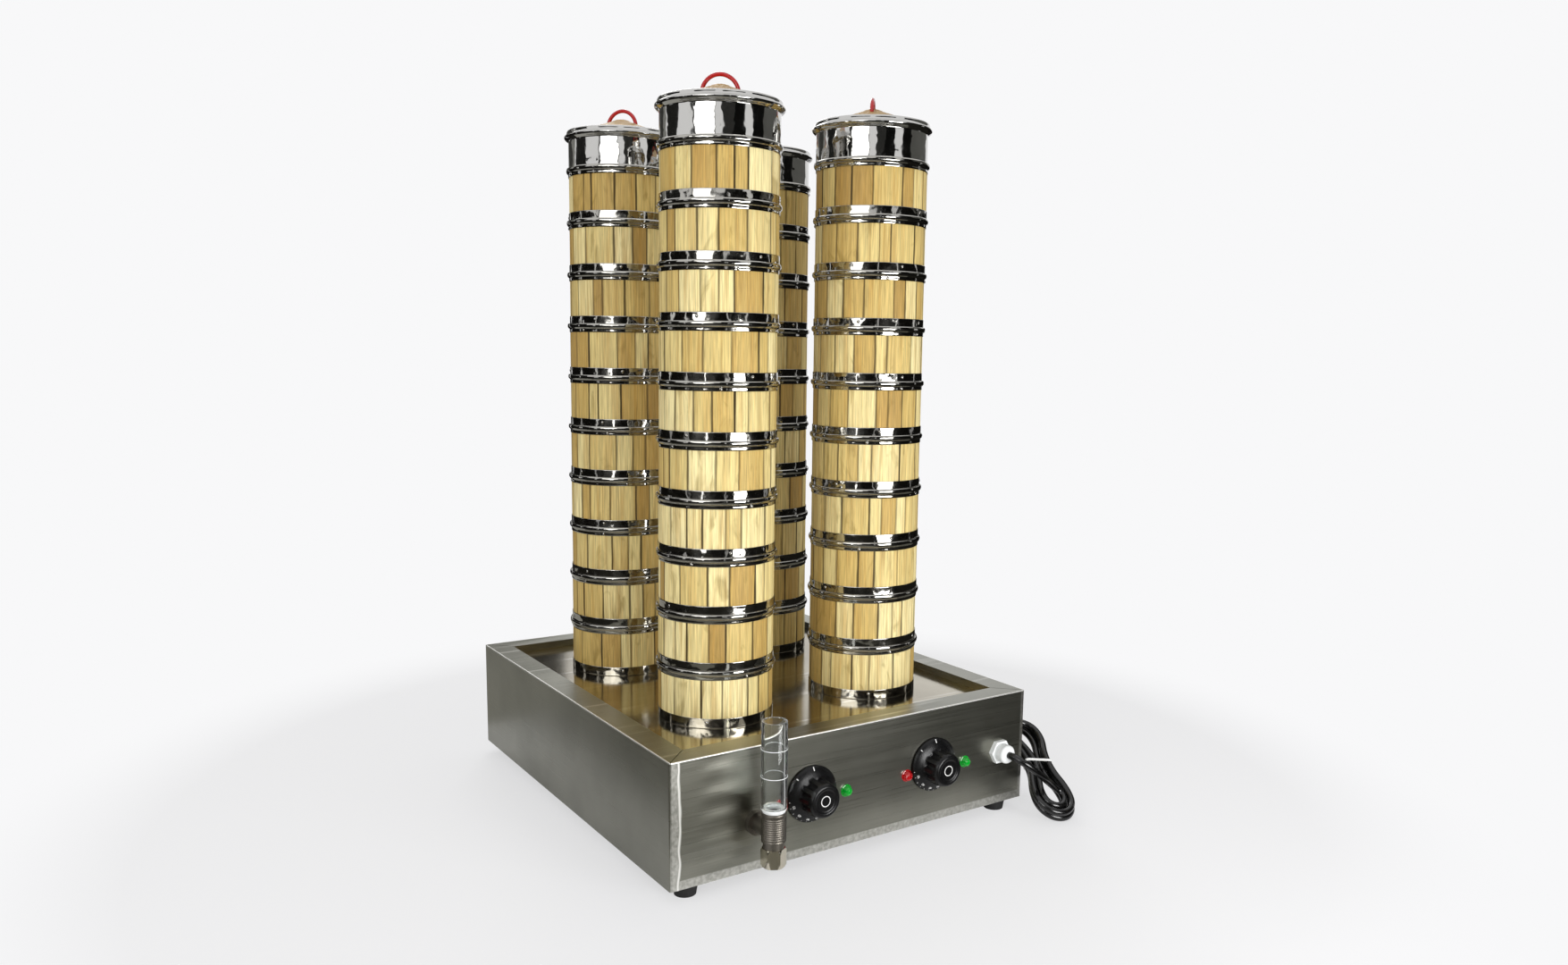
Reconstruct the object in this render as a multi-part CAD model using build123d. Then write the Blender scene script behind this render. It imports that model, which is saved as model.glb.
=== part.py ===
from build123d import *

import math
import os

# A countertop steamer: a low steel casing with a water tank and heaters inside, and four
# stacks of small wooden steaming tiers on its deck. Millimetres, +Z up, the front faces -Y.
# The origin is on the surface it stands on, under the middle of the object without its cord.

# Casing
CASE_W = 500.0
CASE_D = 570.0
CASE_H = 140.0
FOOT_H = 15.0
SHEET = 1.2
BORDER_W = 30.7
DECK_DROP = 9.5
CORNER_R = 2.5
TOP_EDGE_R = 0.9
MITRE_W = 0.7
MITRE_DEEP = 0.6
MITRE_FROM = 2.4
FLANGE_W = 42.0

# Deck and its steam holes
STACK_X = 108.5
STACK_Y = 128.0
STEAM_HOLE_R = 50.0
STEAM_LIP_H = 6.0

# Water tank under the deck
TANK_W = 400.0
TANK_D = 450.0
TANK_H = 88.0
TANK_FLANGE = 12.0
TANK_CORNER_R = 14.0

# Bottom cover
COVER_LAP = 12.0
VENT_COUNT = 9
VENT_L = 120.0
VENT_W = 6.0
VENT_PITCH = 26.0

# Feet
FOOT_INSET_X = 28.0
FOOT_INSET_Y = 20.0
FOOT_TOP_R = 14.5
FOOT_FLOOR_R = 12.0
FOOT_SCREW_R = 2.5
FOOT_SCREW_HEAD_R = 5.0
FOOT_SCREW_HEAD_H = 3.0
FOOT_SCREW_SINK = 9.0
FOOT_SCREW_OVER = 4.0
COVER_SCREW_R = 2.0
COVER_SCREW_HEAD_R = 3.8
COVER_SCREW_HEAD_H = 2.2
COVER_SCREW_OVER = 3.5

# Steaming tiers
TIERS = 10
STAVE_R = 68.0
STAVE_T = 9.0
STAVE_H = 65.4
STAVE_GAP = 0.3
STAVES = 16
HOOP_T = 0.8
HOOP_H = 11.5
HOOP_FLANGE = 12.0
BEAD_BELOW = 9.0
NEST_H = 2.0
NEST_GAP = 0.9
BEAD_R = 1.5
RIVETS = 3
RIVET_R = 2.1
RIVET_H = 1.3
BEARER_W = 8.0
BEARER_H = 4.0
BEARER_X = 30.0
SLATS = 7
SLAT_W = 12.0
SLAT_H = 3.0
FLOOR_GAP = 1.0
WOBBLE = 0.15

# Lids
LID_WALL_R = 68.4
LID_WALL_H = 36.0
LID_LIP_R = 73.7
LID_LIP_H = 7.5
LID_RIM_R = 70.6
LID_RIM_H = 5.1
LID_RIM_IN = 64.0
LID_SHEET = 0.8
PANEL_T = 3.0
DOME_R = 60.0
DOME_H = 20.0
DOME_NOSE_R = 14.0
HANDLE_R = 2.4
HANDLE_SPREAD = 23.0
HANDLE_TOP = 33.0

# Controls on the front panel
KNOB_X = (-75.0, 101.0)
KNOB_Z = 87.0
KNOB_GAP = 1.0
KNOB_SKIRT_R = 32.5
KNOB_SKIRT_EDGE = 2.5
KNOB_SKIRT_H = 8.0
KNOB_GRIP_R = 21.0
KNOB_H = 30.0
KNOB_FLUTES = 10
KNOB_FLUTE_R = 4.5
KNOB_BACK_R = 26.0
KNOB_BACK_DEEP = 3.5
SHAFT_R = 3.0
SHAFT_IN_KNOB = 22.0
CONTROL_W = 34.0
CONTROL_DEEP = 28.0
NECK_R = 5.0
NECK_NUT_AF = 14.0
NECK_NUT_H = 3.0
RUN_FIT = 0.05
LAMP_X = (-114.0, -26.5, 61.5, 152.0)
LAMP_Z = 80.0
LAMP_R = 6.2
LAMP_RIM_H = 3.0
LAMP_DOME_H = 5.0
LAMP_STEM_R = 4.0
LAMP_STEM_L = 12.0
LAMP_NUT_R = 6.5
LAMP_NUT_H = 3.0
HOLE_GAP = 0.3

# Heaters in the tank
HEATER_X = 85.0
HEATER_HALF = 40.0
HEATER_R = 4.0
HEATER_OVER_FLOOR = 10.0
HEATER_BACK_GAP = 45.0
HEATER_PIN_L = 9.0
BUSH_R = 7.0
BUSH_NUT_R = 9.0
BUSH_NUT_H = 4.0

# Water filler with its sight tube and drain plug
FILLER_X = -147.0
FILLER_OUT = 37.0
FILLER_PIPE_Z = 70.0
PIPE_R = 9.0
PIPE_BORE_R = 6.0
PIPE_NUT_R = 13.5
PIPE_NUT_H = 7.0
TEE_R = 13.0
TEE_BORE_R = 7.75
TEE_TOP_Z = 94.0
TEE_SHOULDER_Z = 62.0
TEE_NECK_R = 11.5
TEE_LOW_Z = 55.0
PLUG_AF = 24.0
PLUG_H = 21.0
PLUG_SPIGOT_L = 8.0
PLUG_FIT = 0.15
SEAL_H = 5.0
SEAL_LOW_R = 12.0
TUBE_R = 14.0
TUBE_BORE_R = 11.25
TUBE_L = 94.0
MARK_Z = (34.0, 64.0)
MARK_H = 0.8
MARK_OUT = 0.4

# Cable gland
GLAND_FROM_SIDE = 42.0
GLAND_X = CASE_W / 2 - GLAND_FROM_SIDE
GLAND_Z = 83.0
GLAND_AF = 27.0
GLAND_NUT_H = 6.0
GLAND_DOME_R = 11.5
GLAND_DOME_L = 14.0
GLAND_THREAD_R = 8.0
GLAND_BACK_NUT_H = 5.0

# Cord, its hank and its plug
CORD_R = 4.5
HANK_STEP = 10.2
HANK_STRANDS = 7
HANK_LOBE = 9.6
HANK_HALF = 53.5
HANK_CLIMB = 0.17
HANK_FROM_CORNER = (27.6, -1.5, 51.8)
HANK_RISE = (46.0, 134.0, 88.5)
HANK_ENTRY = ((-6.6, -42.2, 14.8), (0.80, 0.04, -0.60))
HANK_EXIT = ((-5.0, 34.0, -8.8), (0.0, 0.90, -0.44))
GLAND_LEG = 18.0
LEAD_LAST = 24.0
TAIL_FIRST = 30.0
TAIL_BENDS = ((39.0, 105.0, 36.0), (41.0, 145.0, 14.0))
TAIL_LAST = 38.0
PLUG_FROM_CORNER = (42.0, 225.0, 19.0)
PLUG_BODY_R = 18.5
PLUG_BODY_L = 38.0
PLUG_NECK_R = 8.0
PLUG_NECK_L = 22.0
PIN_R = 2.4
PIN_L = 19.0
PIN_SPACING = 19.0
PIN_ROOT = 6.0
PIN_ROOT_R = 1.8

LID_TURN = {"front_left": -30.0, "front_right": 50.0, "back_left": -55.0, "back_right": 20.0}

# Worked out from the values above
FRONT_REACH = FILLER_OUT + TUBE_R + MARK_OUT
CASE_Y = FRONT_REACH / 2
FRONT = CASE_Y - CASE_D / 2
CASE_TOP = FOOT_H + CASE_H
DECK_Z = CASE_TOP - DECK_DROP
DECK_UNDER = DECK_Z - SHEET
OPEN_W = CASE_W - 2 * BORDER_W
OPEN_D = CASE_D - 2 * BORDER_W
TANK_FLOOR_Z = DECK_UNDER - TANK_H
TANK_FRONT = CASE_Y - TANK_D / 2
HEATER_Z = TANK_FLOOR_Z + SHEET + HEATER_OVER_FLOOR
HOOP_R = STAVE_R + HOOP_T
SOCKET_R = HOOP_R + NEST_GAP
STAVE_Z = HOOP_T
STACKS = {
    "front_left": (-STACK_X, CASE_Y - STACK_Y, 0.45, 0.0),
    "front_right": (STACK_X, CASE_Y - STACK_Y, 0.05, 0.05),
    "back_left": (-STACK_X, CASE_Y + STACK_Y, 0.4, 0.05),
    "back_right": (STACK_X, CASE_Y + STACK_Y, -0.35, 0.0),
}


def write(name, solids):
    """One sub-part: its separate solids in one file."""
    export_step(Compound(label=name, children=list(solids)), f"parts/{name}.step")


def block(x0, x1, y0, y1, z0, z1):
    return Pos((x0 + x1) / 2, (y0 + y1) / 2, (z0 + z1) / 2) * Box(x1 - x0, y1 - y0, z1 - z0)


def rod(x, y, z0, z1, radius):
    """An upright cylinder."""
    return Pos(x, y, (z0 + z1) / 2) * Cylinder(radius, z1 - z0)


def outward(x, z, depth=0.0):
    """The frame of a piece on the front panel: its own +Z points out of the panel."""
    return Plane(origin=(x, FRONT + depth, z), x_dir=(1, 0, 0), z_dir=(0, -1, 0)).location


def spun(points, bulges=None):
    """A solid of revolution about Z, from (radius, height) points. bulges gives, for a side
    that starts at a point's index, the point that its arc passes through."""
    bulges = bulges or {}
    edges = []
    for i, start in enumerate(points):
        end = points[(i + 1) % len(points)]
        if i in bulges:
            middle = bulges[i]
            edges.append(ThreePointArc((start[0], 0, start[1]), (middle[0], 0, middle[1]), (end[0], 0, end[1])))
        else:
            edges.append(Line((start[0], 0, start[1]), (end[0], 0, end[1])))
    return revolve(make_face(edges), Axis.Z)


def cap_side(radius, low, high):
    """A point half way along the side of a spherical cap, from its edge's radius and heights."""
    rise = high - low
    ball = (radius**2 + rise**2) / (2 * rise)
    half = math.asin(radius / ball) / 2
    return (ball * math.sin(half), high - ball * (1 - math.cos(half)))


def hexagon(flats, height):
    return extrude(RegularPolygon(flats / 2, 6, major_radius=False), height)


def casing():
    """The folded outer shell: four walls, the top border with its inner lip, and the bottom flange."""
    half_w = CASE_W / 2
    half_d = CASE_D / 2
    outer = block(-half_w, half_w, -half_d, half_d, FOOT_H, CASE_TOP)
    outer = fillet(outer.edges().filter_by(Axis.Z), CORNER_R)
    outer = fillet(outer.faces().sort_by(Axis.Z)[-1].edges(), TOP_EDGE_R)
    inner = block(SHEET - half_w, half_w - SHEET, SHEET - half_d, half_d - SHEET, FOOT_H + SHEET, CASE_TOP - SHEET)
    inner = fillet(inner.edges().filter_by(Axis.Z), CORNER_R - SHEET)
    shell = outer - inner
    lip = block(-OPEN_W / 2 - SHEET, OPEN_W / 2 + SHEET, -OPEN_D / 2 - SHEET, OPEN_D / 2 + SHEET, DECK_UNDER, CASE_TOP)
    lip = lip & block(-half_w, half_w, -half_d, half_d, DECK_UNDER, CASE_TOP - SHEET)
    shell = shell + lip
    shell -= block(-OPEN_W / 2, OPEN_W / 2, -OPEN_D / 2, OPEN_D / 2, DECK_UNDER - SHEET, CASE_TOP + SHEET)
    under_w = half_w - FLANGE_W
    under_d = half_d - FLANGE_W
    shell -= block(-under_w, under_w, -under_d, under_d, 0, FOOT_H + 2 * SHEET)
    for x in (-1, 1):
        for y in (-1, 1):
            inset = (MITRE_FROM + BORDER_W - MITRE_W) / 2
            cut = Pos(x * (half_w - inset), y * (half_d - inset), CASE_TOP) * Rot(0, 0, 45 * x * y)
            shell -= cut * Box((BORDER_W - MITRE_W - MITRE_FROM) * math.sqrt(2), MITRE_W, 2 * MITRE_DEEP)
    shell = Pos(0, CASE_Y, 0) * shell
    for x in KNOB_X:
        shell -= outward(x, KNOB_Z) * Cylinder(NECK_R + HOLE_GAP, 4 * SHEET)
    for x in LAMP_X:
        shell -= outward(x, LAMP_Z) * Cylinder(LAMP_STEM_R + HOLE_GAP, 4 * SHEET)
    shell -= outward(FILLER_X, FILLER_PIPE_Z) * Cylinder(PIPE_R + HOLE_GAP, 4 * SHEET)
    shell -= outward(GLAND_X, GLAND_Z) * Cylinder(GLAND_THREAD_R + HOLE_GAP, 4 * SHEET)
    for x, y in feet_places():
        shell -= rod(x, y, 0, FOOT_H + 2 * SHEET, FOOT_SCREW_R + HOLE_GAP)
    for x, y in cover_screw_places():
        shell -= rod(x, y, 0, FOOT_H + 2 * SHEET, COVER_SCREW_R + HOLE_GAP)
    return shell


def feet_places():
    x = CASE_W / 2 - FOOT_INSET_X
    y = CASE_D / 2 - FOOT_INSET_Y
    return [(sx * x, CASE_Y + sy * y) for sx in (-1, 1) for sy in (-1, 1)]


def cover_screw_places():
    """Half way along each side and a quarter in from each end of the long sides."""
    x = CASE_W / 2 - FLANGE_W + COVER_LAP / 2
    y = CASE_D / 2 - FLANGE_W + COVER_LAP / 2
    sides = [(sx * x, CASE_Y + sy * CASE_D / 4) for sx in (-1, 1) for sy in (-1, 1)]
    return sides + [(0, CASE_Y - y), (0, CASE_Y + y)]


def deck_plate():
    """The recessed deck, with a turned-down lip round each steam hole."""
    plate = block(-OPEN_W / 2, OPEN_W / 2, CASE_Y - OPEN_D / 2, CASE_Y + OPEN_D / 2, DECK_UNDER, DECK_Z)
    for x, y, _, _ in STACKS.values():
        plate += rod(x, y, DECK_UNDER - STEAM_LIP_H, DECK_Z, STEAM_HOLE_R + SHEET)
    for x, y, _, _ in STACKS.values():
        plate -= rod(x, y, DECK_UNDER - 2 * STEAM_LIP_H, DECK_Z + SHEET, STEAM_HOLE_R)
    return plate


def water_tank():
    """An open pan hung under the deck by its flange."""
    half_w = TANK_W / 2
    half_d = TANK_D / 2
    outer = block(-half_w, half_w, -half_d, half_d, TANK_FLOOR_Z, DECK_UNDER)
    outer = fillet(outer.edges().filter_by(Axis.Z), TANK_CORNER_R)
    flange = block(-half_w - TANK_FLANGE, half_w + TANK_FLANGE, -half_d - TANK_FLANGE, half_d + TANK_FLANGE,
                   DECK_UNDER - SHEET, DECK_UNDER)
    inner = block(SHEET - half_w, half_w - SHEET, SHEET - half_d, half_d - SHEET, TANK_FLOOR_Z + SHEET, DECK_UNDER)
    inner = fillet(inner.edges().filter_by(Axis.Z), TANK_CORNER_R - SHEET)
    pan = Pos(0, CASE_Y, 0) * (outer + flange - inner)
    wall = TANK_FRONT - FRONT
    pan -= outward(FILLER_X, FILLER_PIPE_Z, wall) * Cylinder(PIPE_R + RUN_FIT, 4 * SHEET)
    for x in heater_legs():
        pan -= outward(x, HEATER_Z, wall) * Cylinder(BUSH_R + RUN_FIT, 4 * SHEET)
    return pan


def bottom_cover():
    """The plate that closes the casing from below, with vent slots, and its screws."""
    half_w = CASE_W / 2 - FLANGE_W + COVER_LAP
    half_d = CASE_D / 2 - FLANGE_W + COVER_LAP
    low = FOOT_H + SHEET
    plate = block(-half_w, half_w, CASE_Y - half_d, CASE_Y + half_d, low, low + SHEET)
    for row in (-1, 1):
        for i in range(VENT_COUNT):
            y = CASE_Y + (i - (VENT_COUNT - 1) / 2) * VENT_PITCH
            slot = extrude(SlotOverall(VENT_L, VENT_W), 4 * SHEET)
            plate -= Pos(row * VENT_L * 0.75, y, low - SHEET) * slot
    screws = []
    for x, y in cover_screw_places():
        plate -= rod(x, y, low - SHEET, low + 2 * SHEET, COVER_SCREW_R + RUN_FIT)
        head = rod(x, y, FOOT_H - COVER_SCREW_HEAD_H, FOOT_H, COVER_SCREW_HEAD_R)
        screws.append(head + rod(x, y, FOOT_H, low + SHEET + COVER_SCREW_OVER, COVER_SCREW_R))
    return [plate] + screws


def rubber_feet():
    """Four tapered feet, each with the screw that holds it."""
    solids = []
    for x, y in feet_places():
        foot = spun([(FOOT_SCREW_R, FOOT_SCREW_SINK), (FOOT_SCREW_HEAD_R + 1, FOOT_SCREW_SINK),
                     (FOOT_SCREW_HEAD_R + 1, 0), (FOOT_FLOOR_R, 0), (FOOT_TOP_R, FOOT_H), (FOOT_SCREW_R, FOOT_H)])
        screw = rod(0, 0, FOOT_SCREW_SINK - FOOT_SCREW_HEAD_H, FOOT_SCREW_SINK, FOOT_SCREW_HEAD_R)
        screw += rod(0, 0, FOOT_SCREW_SINK, FOOT_H + SHEET + FOOT_SCREW_OVER, FOOT_SCREW_R)
        solids += [Pos(x, y, 0) * foot, Pos(x, y, 0) * screw]
    return solids


def stave_angles(seed):
    """Uneven stave widths round one tier, in degrees from its own start."""
    count = STAVES + seed % 2
    parts = [1 + 0.3 * math.sin(2.4 * i + 1.7 * seed) + 0.24 * math.sin(5.1 * i + 0.9 * seed) for i in range(count)]
    total = sum(parts)
    angles = [0.0]
    for part in parts:
        angles.append(angles[-1] + 360 * part / total)
    return angles


def stave(start, end):
    """One stave between two angles: flat inside, round outside."""
    inner_r = STAVE_R - STAVE_T
    slim = math.degrees(STAVE_GAP / 2 / STAVE_R)
    corners = [(math.cos(math.radians(a)), math.sin(math.radians(a))) for a in (start + slim, (start + end) / 2, end - slim)]
    (ax, ay), (mx, my), (bx, by) = corners
    sides = [
        Line((inner_r * ax, inner_r * ay), (STAVE_R * ax, STAVE_R * ay)),
        ThreePointArc((STAVE_R * ax, STAVE_R * ay), (STAVE_R * mx, STAVE_R * my), (STAVE_R * bx, STAVE_R * by)),
        Line((STAVE_R * bx, STAVE_R * by), (inner_r * bx, inner_r * by)),
        Line((inner_r * bx, inner_r * by), (inner_r * ax, inner_r * ay)),
    ]
    return Pos(0, 0, STAVE_Z) * extrude(make_face(sides), STAVE_H - STAVE_Z)


def bottom_hoop(angles):
    """A steel band with a flange that carries the staves and the floor, and its rivet heads."""
    inner = STAVE_R - HOOP_FLANGE
    hoop = spun([(inner, 0), (HOOP_R, 0), (HOOP_R, HOOP_H), (STAVE_R, HOOP_H), (STAVE_R, HOOP_T), (inner, HOOP_T)])
    return hoop + [rivet(angle, HOOP_H * 0.6) for angle in angles]


def bead_ring(angles):
    """The top band: flat below with a rolled bead above that takes the next tier, and its rivet heads."""
    low = STAVE_H - BEAD_BELOW
    step = STAVE_H - BEAD_BELOW / 2
    top = STAVE_H + NEST_H
    outer = SOCKET_R + BEAD_R
    points = [(STAVE_R, low), (HOOP_R, low), (HOOP_R, step), (SOCKET_R + BEAD_R / 2, top),
              (SOCKET_R, top), (SOCKET_R, STAVE_H), (STAVE_R, STAVE_H)]
    ring = spun(points, {2: (outer, (step + top) / 2 + BEAD_R / 3)})
    return ring + [rivet(angle, low + BEAD_BELOW * 0.25) for angle in angles]


def rivet(angle, height):
    """A domed rivet head, its root inside the thickness of the band."""
    root = -HOOP_T / 2
    edge = 0.3
    dome = spun([(0, root), (RIVET_R, root), (RIVET_R, edge), (0, RIVET_H)], {2: cap_side(RIVET_R, edge, RIVET_H)})
    a = math.radians(angle)
    face = Plane(origin=(HOOP_R * math.cos(a), HOOP_R * math.sin(a), height), x_dir=(0, 0, 1),
                 z_dir=(math.cos(a), math.sin(a), 0))
    return face.location * dome


def slatted_floor():
    """Two bearers on the hoop's flange, and the slats across them."""
    reach = STAVE_R - STAVE_T - FLOOR_GAP
    solids = []
    for side in (-1, 1):
        x = side * BEARER_X
        half = math.sqrt(reach**2 - (BEARER_X + BEARER_W / 2) ** 2)
        solids.append(block(x - BEARER_W / 2, x + BEARER_W / 2, -half, half, STAVE_Z, STAVE_Z + BEARER_H))
    pitch = 2 * (reach - SLAT_W) / (SLATS - 1)
    for i in range(SLATS):
        y = (i - (SLATS - 1) / 2) * pitch
        half = math.sqrt(reach**2 - (abs(y) + SLAT_W / 2) ** 2)
        half = max(half, BEARER_X + BEARER_W / 2)
        low = STAVE_Z + BEARER_H
        solids.append(block(-half, half, y - SLAT_W / 2, y + SLAT_W / 2, low, low + SLAT_H))
    return solids


def tier(seed):
    """One steaming tier in its own frame, standing on z = 0."""
    angles = stave_angles(seed)
    solids = [stave(a, b) for a, b in zip(angles, angles[1:])]
    solids += slatted_floor()
    low = [360 * (i + 0.22 * math.sin(3 * i + seed)) / RIVETS for i in range(RIVETS)]
    turn = 31 + 9 * math.cos(seed)
    return solids + [bottom_hoop(low), bead_ring([angle + turn for angle in low])]


def tier_place(stack, level):
    """Where a tier stands: a stack leans and wobbles a little within the nesting clearance."""
    x, y, lean_x, lean_y = STACKS[stack]
    phase = 2.1 * level + x / 50
    x += lean_x * level + WOBBLE * math.sin(phase)
    y += lean_y * level + WOBBLE * math.cos(1.7 * phase)
    return x, y, DECK_Z + level * STAVE_H


def tier_seed(stack, level):
    return 10 * list(STACKS).index(stack) + level


def lid():
    """A steel collar with a flared lip, a domed bamboo panel in it and a loop handle."""
    wall_in = LID_WALL_R - LID_SHEET
    lip_z = LID_WALL_H + LID_LIP_H
    top = lip_z + LID_RIM_H
    mid_lip = LID_WALL_H + LID_LIP_H * 0.65
    collar = spun(
        [(wall_in, 0), (LID_WALL_R, 0), (LID_WALL_R, LID_WALL_H), (LID_LIP_R, mid_lip), (LID_RIM_R, lip_z),
         (LID_RIM_R, top - 1.5), (LID_RIM_R - 1.5, top), (LID_RIM_IN, top), (LID_RIM_IN, top - LID_SHEET),
         (wall_in, top - LID_SHEET)],
        {2: (LID_WALL_R + 1.8, LID_WALL_H + 2.6), 3: (LID_LIP_R - 0.5, lip_z - 0.7), 5: (LID_RIM_R - 0.44, top - 0.44)},
    )
    seat = top - LID_SHEET
    nose_z = seat + DOME_H * 0.8
    side = cap_side(DOME_NOSE_R, nose_z, seat + DOME_H)
    panel = spun(
        [(wall_in, seat - PANEL_T), (wall_in, seat), (DOME_R, seat), (DOME_NOSE_R, nose_z), (0, seat + DOME_H),
         (0, seat + DOME_H - PANEL_T), (DOME_NOSE_R, nose_z - PANEL_T), (DOME_R, seat - PANEL_T)],
        {3: side, 5: (side[0], side[1] - PANEL_T)},
    )
    foot_z = seat + DOME_H * 0.45
    path = ThreePointArc((-HANDLE_SPREAD, 0, foot_z), (0, 0, seat + HANDLE_TOP - HANDLE_R), (HANDLE_SPREAD, 0, foot_z))
    handle = sweep(Plane(origin=path @ 0, z_dir=path % 0) * Circle(HANDLE_R), path)
    under = spun([(0, 0), (DOME_R, 0), (DOME_R, seat), (DOME_NOSE_R, nose_z), (0, seat + DOME_H)], {3: side})
    return [collar, panel, handle - under]


def knob(x):
    """A fluted knob with a skirt, and the shaft that it turns."""
    points = [(KNOB_BACK_R, 0), (KNOB_SKIRT_R, 0), (KNOB_SKIRT_R, KNOB_SKIRT_EDGE),
              (KNOB_GRIP_R + 1, KNOB_SKIRT_H), (KNOB_GRIP_R, KNOB_SKIRT_H + 1), (KNOB_GRIP_R - 1.5, KNOB_H - 3),
              (KNOB_GRIP_R - 4.5, KNOB_H), (0, KNOB_H), (0, KNOB_BACK_DEEP), (KNOB_BACK_R, KNOB_BACK_DEEP)]
    body = spun(points, {5: (KNOB_GRIP_R - 2.3, KNOB_H - 0.8)})
    for i in range(KNOB_FLUTES):
        a = 2 * math.pi * (i + 0.5) / KNOB_FLUTES
        reach = KNOB_GRIP_R + KNOB_FLUTE_R * 0.35
        top = KNOB_H - 5
        body -= rod(reach * math.cos(a), reach * math.sin(a), KNOB_SKIRT_H + 1, top, KNOB_FLUTE_R)
    body -= rod(0, 0, 0, SHAFT_IN_KNOB + KNOB_GAP, SHAFT_R)
    shaft = rod(0, 0, -SHEET - CONTROL_DEEP * 0.7 - KNOB_GAP, SHAFT_IN_KNOB, SHAFT_R)
    place = outward(x, KNOB_Z) * Pos(0, 0, KNOB_GAP)
    return [place * body, place * shaft]


def controls():
    """The two thermostats behind the panel, each with a threaded neck and its nut."""
    solids = []
    for x in KNOB_X:
        place = outward(x, KNOB_Z)
        body = Pos(0, 0, -SHEET - CONTROL_DEEP / 2) * Box(CONTROL_W, CONTROL_W, CONTROL_DEEP)
        body += rod(0, 0, -SHEET, NECK_NUT_H + 0.5, NECK_R)
        body -= rod(0, 0, -SHEET - CONTROL_DEEP * 0.7 - 1, NECK_NUT_H + 1, SHAFT_R + RUN_FIT)
        nut = hexagon(NECK_NUT_AF, NECK_NUT_H) - rod(0, 0, -1, NECK_NUT_H + 1, NECK_R)
        solids += [place * body, place * nut]
    return solids


def heater_legs():
    return [side * HEATER_X + leg * HEATER_HALF for side in (-1, 1) for leg in (-1, 1)]


def heaters():
    """Two hairpin elements lying in the tank, sealed into its front wall."""
    solids = []
    front = TANK_FRONT - BUSH_NUT_H - HEATER_PIN_L
    back = CASE_Y + TANK_D / 2 - HEATER_BACK_GAP - HEATER_HALF
    for side in (-1, 1):
        x0 = side * HEATER_X - HEATER_HALF
        x1 = side * HEATER_X + HEATER_HALF
        bend = ThreePointArc((x0, back, HEATER_Z), (side * HEATER_X, back + HEATER_HALF, HEATER_Z), (x1, back, HEATER_Z))
        path = Wire([Line((x0, front, HEATER_Z), (x0, back, HEATER_Z)), bend, Line((x1, back, HEATER_Z), (x1, front, HEATER_Z))])
        ring = Plane(origin=(x0, front, HEATER_Z), z_dir=(0, 1, 0)) * Circle(HEATER_R)
        solids.append(sweep(ring, path))
    wall = TANK_FRONT - FRONT
    for x in heater_legs():
        bush = rod(0, 0, -SHEET - BUSH_NUT_H, BUSH_NUT_H, BUSH_R)
        bush += rod(0, 0, 0, BUSH_NUT_H, BUSH_NUT_R) + rod(0, 0, -SHEET - BUSH_NUT_H, -SHEET, BUSH_NUT_R)
        bush -= rod(0, 0, -2 * BUSH_NUT_H - SHEET, 2 * BUSH_NUT_H, HEATER_R)
        solids.append(outward(x, HEATER_Z, wall) * bush)
    return solids


def pilot_lamps():
    """Four domed lamps, each with its stem through the panel and a nut behind."""
    solids = []
    for x in LAMP_X:
        place = outward(x, LAMP_Z)
        side = cap_side(LAMP_R, LAMP_RIM_H, LAMP_RIM_H + LAMP_DOME_H)
        lens = spun([(0, 0), (LAMP_R, 0), (LAMP_R, LAMP_RIM_H), (0, LAMP_RIM_H + LAMP_DOME_H)], {2: side})
        lens += rod(0, 0, -LAMP_STEM_L, 0, LAMP_STEM_R)
        nut = rod(0, 0, -SHEET - LAMP_NUT_H, -SHEET, LAMP_NUT_R) - rod(0, 0, -2 * LAMP_STEM_L, 0, LAMP_STEM_R)
        solids += [place * lens, place * nut]
    return solids


def filler_tee():
    """The pipe through the panel and the tank wall, its flange nut and the upright tee."""
    y = FRONT - FILLER_OUT
    body = rod(FILLER_X, y, TEE_SHOULDER_Z, TEE_TOP_Z, TEE_R) + rod(FILLER_X, y, TEE_LOW_Z, TEE_SHOULDER_Z, TEE_NECK_R)
    pipe_in = TANK_FRONT - FRONT + SHEET + BUSH_NUT_H
    pipe = outward(FILLER_X, FILLER_PIPE_Z) * rod(0, 0, -pipe_in, FILLER_OUT, PIPE_R)
    body += pipe
    body -= rod(FILLER_X, y, TEE_LOW_Z, TEE_TOP_Z, TEE_BORE_R)
    body -= outward(FILLER_X, FILLER_PIPE_Z) * rod(0, 0, -pipe_in, FILLER_OUT, PIPE_BORE_R)
    nut = rod(0, 0, 0, PIPE_NUT_H, PIPE_NUT_R) - rod(0, 0, 0, PIPE_NUT_H, PIPE_R)
    return [body, outward(FILLER_X, FILLER_PIPE_Z) * nut]


def drain_plug():
    """The hexagonal plug under the tee; its spigot stands in for the thread."""
    head = Pos(0, 0, TEE_LOW_Z - PLUG_H) * hexagon(PLUG_AF, PLUG_H)
    head = chamfer(head.faces().sort_by(Axis.Z)[0].edges(), 1.2)
    head += rod(0, 0, TEE_LOW_Z, TEE_LOW_Z + PLUG_SPIGOT_L, TEE_BORE_R - PLUG_FIT)
    return Pos(FILLER_X, FRONT - FILLER_OUT, 0) * head


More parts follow.
